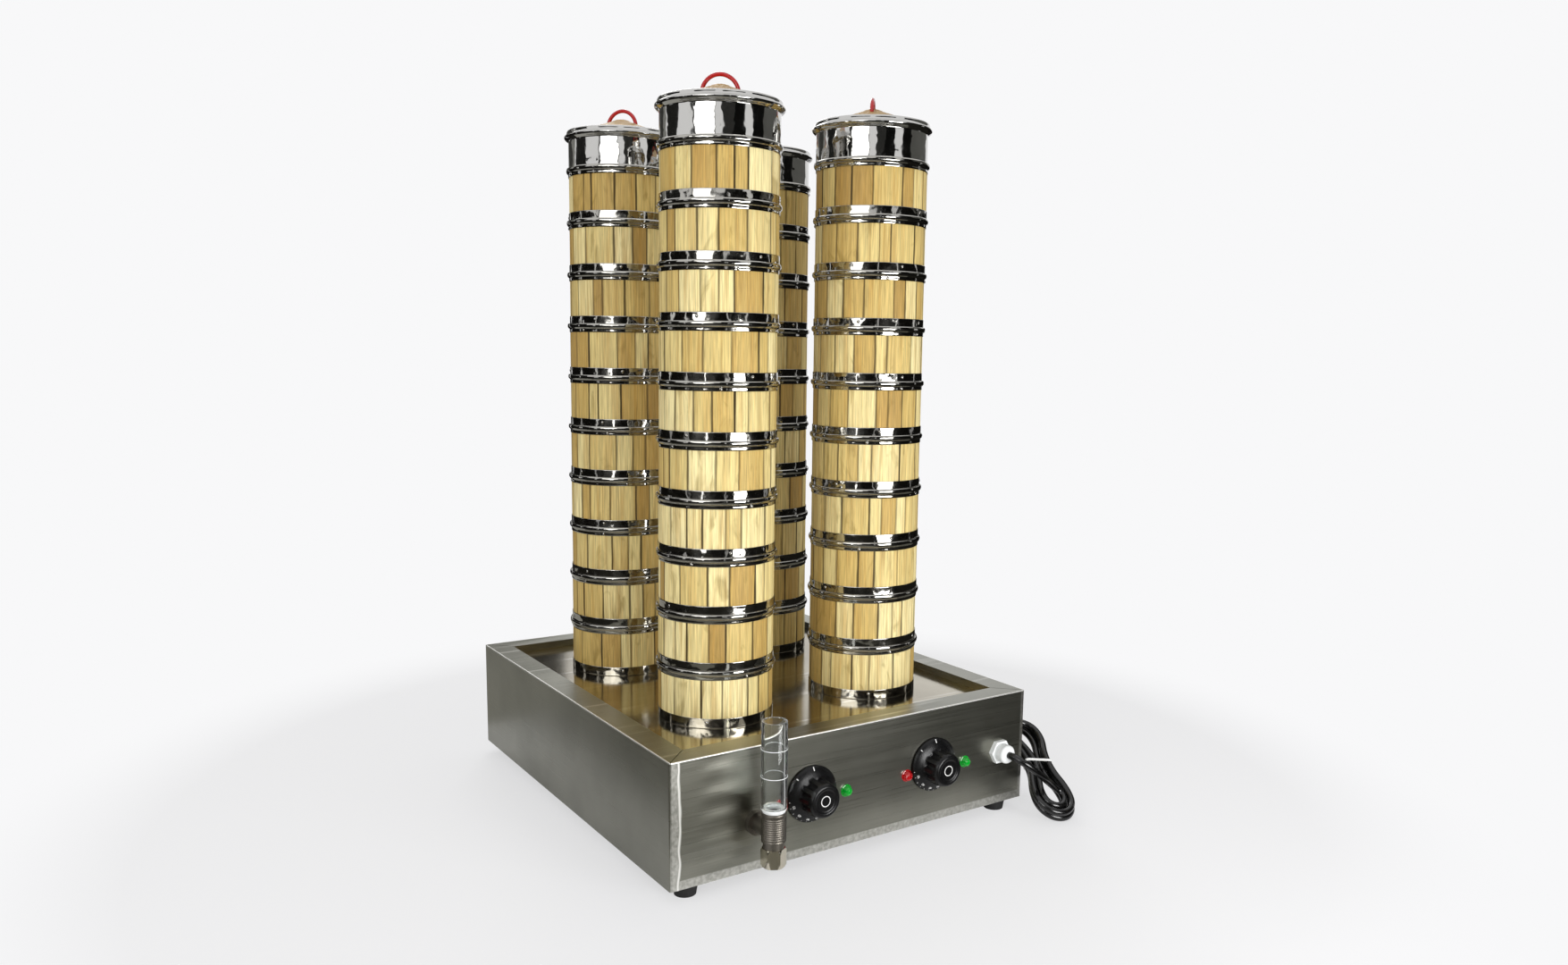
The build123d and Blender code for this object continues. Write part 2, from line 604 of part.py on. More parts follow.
def sight_tube():
    """The clear tube in its white seal, with two level marks round it."""
    y = FRONT - FILLER_OUT
    low = TEE_TOP_Z + SEAL_H
    seal = spun([(TEE_BORE_R, TEE_TOP_Z), (SEAL_LOW_R, TEE_TOP_Z), (TUBE_R, low), (TEE_BORE_R, low)])
    tube = spun([(TUBE_BORE_R, low), (TUBE_R, low), (TUBE_R, low + TUBE_L), (TUBE_BORE_R, low + TUBE_L)])
    solids = [seal, tube]
    for z in MARK_Z:
        solids.append(spun([(TUBE_R, low + z), (TUBE_R + MARK_OUT, low + z), (TUBE_R + MARK_OUT, low + z + MARK_H),
                            (TUBE_R, low + z + MARK_H)]))
    return [Pos(FILLER_X, y, 0) * s for s in solids]


def cable_gland():
    """The gland's hexagon and dome outside, and its thread and nut inside the panel."""
    mouth = GLAND_NUT_H + GLAND_DOME_L
    body = hexagon(GLAND_AF, GLAND_NUT_H)
    body += spun([(0, GLAND_NUT_H), (GLAND_DOME_R, GLAND_NUT_H), (GLAND_DOME_R, mouth - 4), (CORD_R + 2, mouth),
                  (0, mouth)], {2: (GLAND_DOME_R - 1.2, mouth - 1.4)})
    body += rod(0, 0, -SHEET - GLAND_BACK_NUT_H - 2, 0, GLAND_THREAD_R)
    body -= rod(0, 0, -3 * GLAND_BACK_NUT_H, mouth - CORD_R, CORD_R)
    nut = Pos(0, 0, -SHEET - GLAND_BACK_NUT_H) * hexagon(GLAND_AF, GLAND_BACK_NUT_H)
    nut -= rod(0, 0, -3 * GLAND_BACK_NUT_H, 0, GLAND_THREAD_R)
    return [outward(GLAND_X, GLAND_Z) * body, outward(GLAND_X, GLAND_Z) * nut]


def tube_along(points, name):
    """A plain cord tube: straight runs joined by arcs as large as the runs allow."""
    points = [Vector(*p) for p in points]
    radii = []
    for a, b, c in zip(points, points[1:], points[2:]):
        half_turn = math.radians((b - a).get_angle(c - b)) / 2
        radii.append(0.45 * min((b - a).length, (c - b).length) / math.tan(half_turn))
    print(name, "bend radii", [round(r) for r in radii])
    path = FilletPolyline(*points, radius=radii)
    solid = sweep(Plane(origin=path @ 0, z_dir=path % 0) * Circle(CORD_R), path)
    print(name, "volume / section x length", round(solid.volume / (math.pi * CORD_R**2 * path.length), 4))
    return solid


def hank_frame():
    """The hank's centre, its width direction, its long direction and the way its layers pile."""
    corner = Vector(CASE_W / 2, FRONT, 0)
    long = Vector(*HANK_RISE).normalized()
    wide = (Vector(1, 0, 0) - long * long.X).normalized()
    return corner + Vector(*HANK_FROM_CORNER), wide, long, wide.cross(long)


def hank_keys():
    """(place, direction) pairs along the hank in its own (width, length, layer) frame. Strands
    on the right of the waist run down it and those on the left run up. They spiral out in the
    front layer, climb in the outermost half turn, and spiral in again in the back layer."""
    last = HANK_STRANDS
    step = HANK_STEP / 2
    layer = HANK_STEP / 2
    radius = [step / 2 + step * min(i, last - i) for i in range(last + 1)]
    depth = [layer if i <= last // 2 else -layer for i in range(last + 1)]
    place, way = HANK_ENTRY
    keys = [(tuple(p - 2 * CORD_R * w for p, w in zip(place, way)), way), (place, way)]
    for i in range(last):
        side = 1 if i % 2 == 0 else -1
        out = side * (radius[i] + HANK_LOBE)
        back = -side * (radius[i + 1] + HANK_LOBE)
        if i > 0:
            keys.append(((side * radius[i], 0, depth[i]), (0, -side, 0)))
        keys.append(((out, -side * HANK_HALF, depth[i]), (0, -side, 0)))
        if i == last // 2:
            keys.append(((0, -side * (HANK_HALF + abs(out) + step / 2), 0), (-side, 0, -HANK_CLIMB)))
        else:
            keys.append((((out + back) / 2, -side * (HANK_HALF + abs(out - back) / 2), depth[i]), (-side, 0, 0)))
        keys.append(((back, -side * HANK_HALF, depth[i + 1]), (0, side, 0)))
    keys.append(((-radius[last], 0, depth[last]), (0, 1, 0)))
    place, way = HANK_EXIT
    keys.append((place, way))
    keys.append((tuple(p + 2 * CORD_R * w for p, w in zip(place, way)), way))
    return keys


def biarc(p, t, q, s):
    """Two tangent arcs from p, leaving along t, to q, arriving along s."""
    chord = q - p
    both = t + s
    bend = 1 - t.dot(s)
    if bend < 1e-6:
        reach = chord.dot(chord) / (4 * chord.dot(t))
    else:
        along = chord.dot(both)
        reach = (math.sqrt(along**2 + 2 * bend * chord.dot(chord)) - along) / (2 * bend)
    joint = (p + q + (t - s) * reach) * 0.5
    turn = (q - p - both * reach).normalized()
    return [Edge.make_tangent_arc(p, t, joint), Edge.make_tangent_arc(joint, turn, q)]


def arc_or_line(p, t, q, s):
    """A straight run where both directions lie along the chord, one arc where one fits, else a biarc."""
    chord = (q - p).normalized()
    if chord.dot(t) > 0.999999 and chord.dot(s) > 0.999999:
        return [Edge.make_line(p, q)]
    if (s - chord * (2 * chord.dot(t)) + t).length < 1e-6:
        return [Edge.make_tangent_arc(p, t, q)]
    return biarc(p, t, q, s)


def hank_places():
    """The hank's keys in the model's frame."""
    centre, wide, long, piled = hank_frame()
    placed = []
    for place, way in hank_keys():
        point = centre + wide * place[0] + long * place[1] + piled * place[2]
        placed.append((point, (wide * way[0] + long * way[1] + piled * way[2]).normalized()))
    return placed


def least_gap(wire, step=2.0):
    """The least gap of the tube to itself, between points more than half a lobe apart along it."""
    count = int(wire.length / step)
    points = [wire @ (i / count) for i in range(count + 1)]
    apart = int(3.5 * CORD_R / step) + 1
    least = min(
        (points[i] - points[j]).length for i in range(len(points)) for j in range(i + apart, len(points))
    )
    return least - 2 * CORD_R


def cord_hank():
    """The tied hank as one unbroken tube."""
    keys = hank_places()
    edges = []
    for (p, t), (q, s) in zip(keys, keys[1:]):
        edges += arc_or_line(p, t, q, s)
    wire = Wire(edges)
    print("hank length", round(wire.length), "least gap to itself", round(least_gap(wire), 2))
    start = Plane(origin=keys[0][0], z_dir=keys[0][1])
    solid = sweep(start * Circle(CORD_R), wire)
    print("hank volume / section x length", round(solid.volume / (math.pi * CORD_R**2 * wire.length), 4))
    return solid


def plug_place():
    return Vector(CASE_W / 2, FRONT, 0) + Vector(*PLUG_FROM_CORNER)


def power_cord():
    """The free stretches: from the gland to the hank, and from the hank to the plug."""
    keys = hank_places()
    mouth = Vector(GLAND_X, FRONT - GLAND_NUT_H - GLAND_DOME_L, GLAND_Z)
    start, way = keys[0]
    lead = [mouth, mouth - Vector(0, GLAND_LEG, 0), start - way * LEAD_LAST, start]
    end, way = keys[-1]
    corner = Vector(CASE_W / 2, FRONT, 0)
    tail = [end, end + way * TAIL_FIRST] + [corner + Vector(*bend) for bend in TAIL_BENDS]
    tail += [plug_place() - Vector(0, TAIL_LAST, 0), plug_place()]
    return [tube_along(lead, "lead"), tube_along(tail, "tail")]


def power_plug():
    """A round two-pin plug lying on the floor, with its ribbed neck."""
    neck = spun([(0, 0), (CORD_R + 1.5, 0), (PLUG_NECK_R, PLUG_NECK_L), (0, PLUG_NECK_L)])
    end = PLUG_NECK_L + PLUG_BODY_L
    body = spun([(0, PLUG_NECK_L), (PLUG_BODY_R - 5, PLUG_NECK_L), (PLUG_BODY_R, PLUG_NECK_L + 8), (PLUG_BODY_R, end),
                 (0, end)], {1: (PLUG_BODY_R - 1.5, PLUG_NECK_L + 2.5)})
    body += neck
    pins = []
    for side in (-1, 1):
        x = side * PIN_SPACING / 2
        body -= rod(x, 0, end - PIN_ROOT, end + 1, PIN_ROOT_R)
        pin = rod(x, 0, end, end + PIN_L - PIN_R, PIN_R) + Pos(x, 0, end + PIN_L - PIN_R) * Sphere(PIN_R)
        pins.append(pin + rod(x, 0, end - PIN_ROOT, end + 1, PIN_ROOT_R))
    place = Plane(origin=plug_place(), x_dir=(1, 0, 0), z_dir=(0, 1, 0)).location
    return [place * body] + [place * pin for pin in pins]


def main():
    os.makedirs("parts", exist_ok=True)
    write("casing", [casing()])
    write("deck_plate", [deck_plate()])
    write("water_tank", [water_tank()])
    write("bottom_cover", bottom_cover())
    write("rubber_feet", rubber_feet())
    write("heaters_and_thermostats", heaters() + controls())
    write("control_knob_left", knob(KNOB_X[0]))
    write("control_knob_right", knob(KNOB_X[1]))
    write("pilot_lamps", pilot_lamps())
    write("inlet_tee", filler_tee())
    write("drain_plug", [drain_plug()])
    write("sight_tube", sight_tube())
    write("cable_gland", cable_gland())
    write("power_cord", power_cord())
    write("cord_hank", [cord_hank()])
    write("power_plug", power_plug())
    for stack in STACKS:
        for level in range(TIERS):
            place = Pos(*tier_place(stack, level)) * Rot(0, 0, 47 * tier_seed(stack, level))
            write(f"tier_{stack}_{level + 1:02d}", [place * s for s in tier(tier_seed(stack, level))])
        place = Pos(*tier_place(stack, TIERS)) * Rot(0, 0, LID_TURN[stack])
        write(f"lid_{stack}", [place * s for s in lid()])


main()
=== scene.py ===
from math import atan2, cos, degrees, pi, radians, sin, sqrt

import bpy
import numpy as np
from mathutils import Matrix, Vector


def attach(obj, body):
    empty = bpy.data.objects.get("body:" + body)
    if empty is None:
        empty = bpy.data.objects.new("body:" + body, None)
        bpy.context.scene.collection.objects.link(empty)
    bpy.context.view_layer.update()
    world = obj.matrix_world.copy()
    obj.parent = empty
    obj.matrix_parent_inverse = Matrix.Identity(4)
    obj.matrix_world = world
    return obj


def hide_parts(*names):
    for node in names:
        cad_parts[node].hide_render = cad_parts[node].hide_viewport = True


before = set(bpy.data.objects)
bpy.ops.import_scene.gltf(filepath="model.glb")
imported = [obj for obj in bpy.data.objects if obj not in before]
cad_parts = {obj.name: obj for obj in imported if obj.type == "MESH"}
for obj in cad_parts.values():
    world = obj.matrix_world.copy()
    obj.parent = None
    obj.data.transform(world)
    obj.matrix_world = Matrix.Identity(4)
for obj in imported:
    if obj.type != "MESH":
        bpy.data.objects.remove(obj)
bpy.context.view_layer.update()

# A countertop dumpling steamer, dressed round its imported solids. Metres, +Z up, front -Y.
# Lengths are written in millimetres and turned to metres where a mesh is made. A shape is its
# (points, quads, triangles).

MM = 0.001
scene = bpy.context.scene
NO_QUADS = np.zeros((0, 4), int)
NO_TRIS = np.zeros((0, 3), int)

# Base, as in the part's source
CASE_W = 500.0
CASE_D = 570.0
FRONT_REACH = 51.4
CASE_Y = FRONT_REACH / 2
FRONT = CASE_Y - CASE_D / 2
DECK_Z = 145.5

# Tiers. A stack has its foot's place and how far it leans with each tier, in x and y.
STACKS = {
    "front_left": (-108.5, CASE_Y - 128.0, 0.45, 0.0),
    "front_right": (108.5, CASE_Y - 128.0, 0.05, 0.05),
    "back_left": (-108.5, CASE_Y + 128.0, 0.4, 0.05),
    "back_right": (108.5, CASE_Y + 128.0, -0.35, 0.0),
}
TIERS = 10
STAVES = 16
STAVE_R = 68.0
STAVE_T = 9.0
STAVE_H = 65.4
STAVE_GAP = 0.3
STAVE_EASE = 0.5
HOOP_R = 68.8
HOOP_H = 11.5
HOOP_INNER_R = 56.0
BEAD_LOW = STAVE_H - 9.0
SOCKET_R = 69.7
RIVETS = 3
BEARER_X = 30.0
BEARER_W = 8.0
FLOOR_LEVELS = (0.8, 4.8, 7.8)
SLATS = 7
SLAT_W = 12.0
# Above 1 the staves of a stack run paler, below 1 darker; the front stacks run paler than the back
# ones.
STACK_PALENESS = {"front_left": 1.6, "front_right": 1.5, "back_left": 1.15, "back_right": 0.9}
# Painted light: each tier up, the staves run darker by this much, so the lower tiers look lit
# paler.
PAINTED_LIGHT_FALL = 0.035
WOOD_TONES = [(0.0, "#F3E3A8"), (0.22, "#E8D594"), (0.45, "#DBC47F"), (0.62, "#D0B46C"),
              (0.78, "#C9AB63"), (0.9, "#C09F58"), (1.0, "#AC8B4A")]

# Lids
LID_TURN = {"front_left": -30.0, "front_right": 50.0, "back_left": -55.0, "back_right": 20.0}
LID_SEAT = 47.8
LID_WALL_R = 68.4
PANEL_R = 65.5
PANEL_T = 3.0
DOME_R = 60.0
DOME_NOSE_R = 14.0
DOME_H = 20.0
STRIP_W = 6.0
STRIP_LIFT = 0.45
HANDLE_TOP = LID_SEAT + 33.0
HANDLE_REACH = 20.5
WIRE_R = 2.4

# Front panel
KNOB_X = {"left": -75.0, "right": 101.0}
KNOB_Z = 87.0
KNOB_GAP = 1.0
DIAL_START = 200
DIAL_STEP = 27
SKIRT = ([22.2, 28.5, 32.2], [8.1, 5.1, 2.8])
LAMPS = {"red_left": (-114.0, "red"), "green_left": (-26.5, "green"),
         "red_right": (61.5, "red"), "green_right": (152.0, "green")}
LAMP_Z = 80.0
FILLER = (-147.0, FRONT - 37.0, 0.0)
TUBE_LOW = 99.0
TUBE_TOP = 193.0

# Cord
CORD_R = 4.5
GLAND_MOUTH = (208.0, FRONT - 20.0, 83.0)
GLAND_LEG = 18.0
HANK_STEP = 10.2
HANK_STRANDS = 7
HANK_LOBE = 9.6
HANK_HALF = 53.5
HANK_CENTRE = (277.6, FRONT - 1.5, 51.8)
HANK_RISE = (46.0, 134.0, 88.5)
HANK_LEAN = (7, 0, 5)
PLUG_PLACE = (292.0, FRONT + 225.0, 19.0)

# Set, in metres
BACKDROP = "#F8F8F9"
CARD_R = 2.3
CARD_SPLIT = 1.02
CARD_TOP = 2.1


def placed(name, data):
    """A new object of the scene that shows a mesh, curve, camera or light."""
    made = bpy.data.objects.new(name, data)
    scene.collection.objects.link(made)
    return made


# Materials' parts


def linear(hex_colour):
    """An sRGB hex colour as linear red, green, blue and a full alpha."""
    parts = [int(hex_colour[i:i + 2], 16) / 255 for i in (1, 3, 5)]
    return [p / 12.92 if p <= 0.04045 else ((p + 0.055) / 1.055) ** 2.4 for p in parts] + [1.0]


def feed(node, inputs):
    """Sets a node's sockets, by name or number, to values or hex colours, or links them."""
    for name, value in inputs.items():
        if isinstance(value, bpy.types.NodeSocket):
            node.id_data.links.new(value, node.inputs[name])
        else:
            node.inputs[name].default_value = linear(value) if isinstance(value, str) else value


def add(tree, kind, inputs=(), out=0, stops=(), **settings):
    """Adds a node and gives its output of that name or number, or all where out is None. inputs
    are values or outputs, by name or as a list in the node's order, stops a ramp's (place, hex
    colour) pairs, and settings the node's own choices."""
    made = tree.nodes.new("ShaderNode" + kind)
    for name, value in settings.items():
        setattr(made, name, value)
    feed(made, inputs if isinstance(inputs, dict) else dict(enumerate(inputs)))
    if stops:
        ramp = made.color_ramp
        while len(ramp.elements) < len(stops):
            ramp.elements.new(0.5)
        for element, (place, colour) in zip(ramp.elements, stops):
            element.position = place
            element.color = linear(colour)
    return made.outputs if out is None else made.outputs[out]


def material(name):
    """A new node material with its shader, ready to be given inputs."""
    made = bpy.data.materials.new(name)
    made.use_nodes = True
    return made, made.node_tree, made.node_tree.nodes["Principled BSDF"]


# Meshes


def quads_of(rows, cols, rows_round=False, cols_round=False):
    """Corner numbers of a grid's quads. A round direction joins its last line to its first."""
    r = np.arange(rows if rows_round else rows - 1)
    c = np.arange(cols if cols_round else cols - 1)
    r, c = np.meshgrid(r, c, indexing="ij")
    r2, c2 = (r + 1) % rows, (c + 1) % cols
    corners = np.stack([r * cols + c, r * cols + c2, r2 * cols + c2, r2 * cols + c], -1)
    return corners.reshape(-1, 4)


def joined(shapes):
    """One shape from several."""
    points, quads, tris, start = [], [], [], 0
    for p, q, t in shapes:
        points.append(p)
        quads.append(q + start)
        tris.append(t + start)
        start += len(p)
    return np.concatenate(points), np.concatenate(quads), np.concatenate(tris)


def circle(count):
    """Angles spread evenly round a circle."""
    return np.arange(count) * 2 * np.pi / count


def around(r, a, z):
    """Points at radius r, angle a and height z: x = r cos a, y = r sin a."""
    return np.stack(np.broadcast_arrays(r * np.cos(a), r * np.sin(a), z), -1)


def turned(profile, count=96, ripple=0.0, closed=True):
    """A profile of (radius, height) points, up its outer side, carried round Z with a ripple in
    its radius. Where it isn't closed, its last point is a pole on the axis."""
    profile = np.asarray(profile, float)
    rings = profile if closed else profile[:-1]
    a = circle(count)
    points = around(rings[:, :1] + ripple, a, rings[:, 1:]).reshape(-1, 3)
    quads = quads_of(len(rings), count, rows_round=closed, cols_round=True)
    if closed:
        return points, quads, NO_TRIS
    i = np.arange(count)
    last = (len(rings) - 1) * count
    tris = np.stack([last + i, last + (i + 1) % count, np.full(count, len(points))], -1)
    return np.concatenate([points, [[0, 0, profile[-1, 1]]]]), quads, tris


def stacked(rings, poles=None):
    """Closed rings of points, one above the other, joined by quads, with a fan over each end that
    meets at a given pole or at the ring's middle."""
    rings = np.asarray(rings, float)
    count, size = rings.shape[:2]
    poles = np.stack([rings[0].mean(0), rings[-1].mean(0)]) if poles is None else poles
    points = np.concatenate([rings.reshape(-1, 3), poles])
    i = np.arange(size)
    j = (i + 1) % size
    last = (count - 1) * size
    low = np.stack([j, i, np.full(size, count * size)], -1)
    high = np.stack([last + i, last + j, np.full(size, count * size + 1)], -1)
    return points, quads_of(count, size, cols_round=True), np.concatenate([low, high])


def bar(x0, x1, y0, y1, z0, z1, ease=0.5):
    """A block with eased edges: eight-sided rings, drawn in by ease at both ends."""
    rings = []
    for z, inset in ((z0, ease), (z0 + ease, 0), (z1 - ease, 0), (z1, ease)):
        ax, bx, ay, by = x0 + inset, x1 - inset, y0 + inset, y1 - inset
        xs = (ax + ease, bx - ease, bx, bx, bx - ease, ax + ease, ax, ax)
        ys = (ay, ay, ay + ease, by - ease, by, by, by - ease, ay + ease)
        rings.append([(x, y, z) for x, y in zip(xs, ys)])
    return stacked(rings)


def tube(path, radius, count=16):
    """A round tube: circles square to a path's own direction, carried along it."""
    way = np.gradient(path, axis=0)
    way /= np.linalg.norm(way, axis=1, keepdims=True)
    side = np.cross(way, (0.13, 0.21, 0.97))
    side /= np.linalg.norm(side, axis=1, keepdims=True)
    up = np.cross(side, way)
    a = circle(count)[:, None]
    return stacked(path[:, None] - radius * (np.cos(a) * side[:, None] - np.sin(a) * up[:, None]))


def moved(shape, turn=0.0, at=(0, 0, 0)):
    """A shape turned about Z by degrees and then moved."""
    points, quads, tris = shape
    c, s = cos(radians(turn)), sin(radians(turn))
    spin = np.array([[c, s, 0], [-s, c, 0], [0, 0, 1]])
    return points @ spin + np.asarray(at, float), quads, tris


def on_panel(shape, x, z, out=0.0):
    """A shape made along +Z, laid so that its +Z points out of the front panel."""
    points, quads, tris = shape
    place = np.stack([points[:, 0] + x, FRONT - out - points[:, 2], points[:, 1] + z], -1)
    return place, quads, tris


def piece(name, body, shape, finish, crease=40.0, marks=None, replaces=()):
    """A mesh object from millimetre points, riding on a body. marks are vectors at its points."""
    points, quads, tris = shape
    mesh = bpy.data.meshes.new(name)
    mesh.vertices.add(len(points))
    mesh.vertices.foreach_set("co", (np.asarray(points) * MM).astype(np.float32).ravel())
    corners = np.concatenate([quads.ravel(), tris.ravel()]).astype(np.int32)
    mesh.loops.add(len(corners))
    mesh.loops.foreach_set("vertex_index", corners)
    starts = np.concatenate([np.arange(len(quads)) * 4, quads.size + np.arange(len(tris)) * 3])
    mesh.polygons.add(len(starts))
    mesh.polygons.foreach_set("loop_start", starts.astype(np.int32))
    mesh.update(calc_edges=True)
    for key, values in (marks or {}).items():
        stored = mesh.attributes.new(key, "FLOAT_VECTOR", "POINT")
        stored.data.foreach_set("vector", np.asarray(values, np.float32).ravel())
    mesh.shade_smooth()
    mesh.set_sharp_from_angle(angle=radians(crease))
    mesh.materials.append(finish)
    made = placed(name, mesh)
    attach(made, body)
    for node in replaces:
        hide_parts(node)


# Materials


def brushed_steel(name, hex_dark, hex_light, roughness, painted_edges=False):
    """Stainless sheet, belt brushed: fine straight lines that stretch each reflection."""
    made, tree, shader = material(name)
    place = add(tree, "TexCoord", out="Object")
    normal = add(tree, "NewGeometry", out="Normal")
    face = add(tree, "SeparateXYZ", [normal], out=None)
    flat = add(tree, "Math", [face["Z"], 0.7], operation="GREATER_THAN")
    # Brushing lines 0.5 mm apart and some 150 mm long, level on the walls and across the top.
    wall = add(tree, "Mapping", {"Vector": place, "Scale": (6, 6, 2000)})
    top = add(tree, "Mapping", {"Vector": place, "Scale": (6, 2000, 6)})
    along = add(tree, "Mix", {0: flat, 4: wall, 5: top}, out=1, data_type="VECTOR")
    lines = add(tree, "TexNoise", {"Vector": along, "Scale": 1.0, "Detail": 3.0})
    # Cloudy handling marks 100 mm across.
    cloud = add(tree, "TexNoise", {"Vector": place, "Scale": 9.0, "Detail": 3.0})
    soft = add(tree, "Math", [lines, 0.25], operation="MULTIPLY")
    both = add(tree, "Math", [soft, cloud], operation="ADD")
    tone = add(tree, "MapRange", [both, 0.4, 0.85])
    colour = add(tree, "ValToRGB", [tone], stops=[(0, hex_dark), (1, hex_light)])
    rough = add(tree, "MapRange", [lines, 0.3, 0.7, roughness - 0.03, roughness + 0.04])
    bump = add(tree, "Bump", {"Height": lines, "Strength": 0.02, "Distance": 0.0002})
    # Wiping has left slanting pale streaks on the level sheets, 15 mm wide and 200 mm long.
    slant = add(tree, "Mapping", {"Vector": place, "Rotation": (0, 0, 0.9), "Scale": (5, 70, 1)})
    wiped = add(tree, "TexNoise", {"Vector": slant, "Scale": 1.0, "Detail": 2.0, "Distortion": 0.4})
    wiped = add(tree, "MapRange", [wiped, 0.58, 0.74, 0, 0.45])
    wiped = add(tree, "Math", [wiped, flat], operation="MULTIPLY")
    colour = add(tree, "Mix", {0: wiped, 6: colour, 7: "#EDEBE4"}, out=2, data_type="RGBA")
    # On the casing, painted highlights and a painted shadow are added to the colour.
    if painted_edges:
        colour, rough, bump = casing_painted_light(tree, place, face, flat, colour, rough, bump)
    feed(shader, {"Base Color": colour, "Metallic": 1.0, "Roughness": rough, "Normal": bump})
    return made


def casing_painted_light(tree, place, face, flat, colour, rough, bump):
    """The casing's folds with painted highlights along the top edges, the foot and the front's
    ends, a painted shadow in its mitred joints, and the buckles beside the filler. Places are in
    metres."""
    at = add(tree, "SeparateXYZ", [place], out=None)
    front = add(tree, "Math", [face["Y"], -0.7], operation="LESS_THAN")
    # Painted highlights on the hems: the foot hem's is 10 mm high; the left fold's 11 mm wide with
    # a wavy edge; the right one's 6 mm.
    foot = add(tree, "MapRange", [at["Z"], 0.0255, 0.0245])
    wave = add(tree, "TexNoise", {"Vector": place, "Scale": 30.0, "Detail": 1.0})
    shift = add(tree, "MapRange", [wave, 0, 1, -0.006, 0.006])
    bent = add(tree, "Math", [at["X"], shift], operation="ADD")
    left = add(tree, "MapRange", [bent, -0.2375, -0.2395])
    inner = add(tree, "MapRange", [bent, -0.2425, -0.2405])
    crest = add(tree, "Math", [left, inner], operation="MULTIPLY")
    right = add(tree, "MapRange", [at["X"], 0.2435, 0.2445])
    ends = add(tree, "Math", [left, right], operation="MAXIMUM")
    folds = add(tree, "Math", [ends, foot], operation="MAXIMUM")
    # The hems' painted highlights are broken into spots 4 mm across.
    spot_noise = add(tree, "TexNoise", {"Vector": place, "Scale": 250.0, "Detail": 2.0})
    highlight_spots = add(tree, "MapRange", [spot_noise, 0.3, 0.7, 0.2, 0.55])
    folds = add(tree, "Math", [folds, highlight_spots], operation="MULTIPLY")
    folds = add(tree, "Math", [folds, crest], operation="MAXIMUM")
    folds = add(tree, "Math", [folds, front], operation="MULTIPLY")
    wide = add(tree, "Math", [at["X"]], operation="ABSOLUTE")
    deep = add(tree, "Math", [at["Y"], CASE_Y * MM], operation="SUBTRACT")
    deep = add(tree, "Math", [deep], operation="ABSOLUTE")
    deep = add(tree, "Math", [deep, (CASE_D - CASE_W) / 2 * MM], operation="SUBTRACT")
    # A painted shadow darkens the mitred joints across the border, a millimetre wide.
    mitre_shadow = add(tree, "Math", [deep, wide, 0.0007], operation="COMPARE")
    mitre_shadow = add(tree, "Math", [mitre_shadow, flat], operation="MULTIPLY")
    # A painted highlight brightens the top edges for 1.4 mm.
    rim = add(tree, "Math", [wide, deep], operation="MAXIMUM")
    rim = add(tree, "Math", [rim, 0.2486], operation="GREATER_THAN")
    high = add(tree, "Math", [at["Z"], 0.1537], operation="GREATER_THAN")
    edge = add(tree, "Math", [rim, high], operation="MULTIPLY")
    bright = add(tree, "Math", [edge, folds], operation="MAXIMUM")
    # Painted highlight on the hems and top edges.
    colour = add(tree, "Mix", {0: bright, 6: colour, 7: "#F4F3EE"}, out=2, data_type="RGBA")
    # Painted shadow in the mitred joints.
    colour = add(tree, "Mix", {0: mitre_shadow, 6: colour, 7: "#24231F"}, out=2, data_type="RGBA")
    rough = add(tree, "MapRange", [bright, 0, 1, rough, 0.42])
    # Beside the filler the panel has soft level buckles 26 mm apart and 0.25 mm high.
    smooth = {"interpolation_type": "SMOOTHSTEP"}
    start = add(tree, "MapRange", [at["X"], -0.222, -0.195], **smooth)
    end = add(tree, "MapRange", [at["X"], -0.15, -0.175], **smooth)
    there = add(tree, "Math", [start, end], operation="MULTIPLY")
    there = add(tree, "Math", [there, front], operation="MULTIPLY")
    turns = add(tree, "Math", [at["Z"], 2 * pi / 0.026], operation="MULTIPLY")
    buckle = add(tree, "Math", [turns], operation="SINE")
    buckle = add(tree, "Math", [buckle, there], operation="MULTIPLY")
    height = {"Height": buckle, "Strength": 1.0, "Distance": 0.00025, "Normal": bump}
    return colour, rough, add(tree, "Bump", height)


def polished_steel(name, hex_colour, roughness, dent, detail=1.5):
    """Thin stainless band, mirror rolled: sharp reflections that bend where the sheet is dented."""
    made, tree, shader = material(name)
    place = add(tree, "TexCoord", out="Object")
    # Dents 30 to 60 mm across, with finer ones in them down to 5 mm where detail is higher.
    dents = add(tree, "TexNoise", {"Vector": place, "Scale": 24.0, "Detail": detail})
    bump = add(tree, "Bump", {"Height": dents, "Strength": dent, "Distance": 0.004})
    smear = add(tree, "TexNoise", {"Vector": place, "Scale": 60.0, "Detail": 3.0})
    rough = add(tree, "MapRange", [smear, 0.35, 0.75, roughness, roughness + 0.08])
    feed(shader, {"Base Color": hex_colour, "Metallic": 1.0, "Roughness": rough, "Normal": bump})
    return made


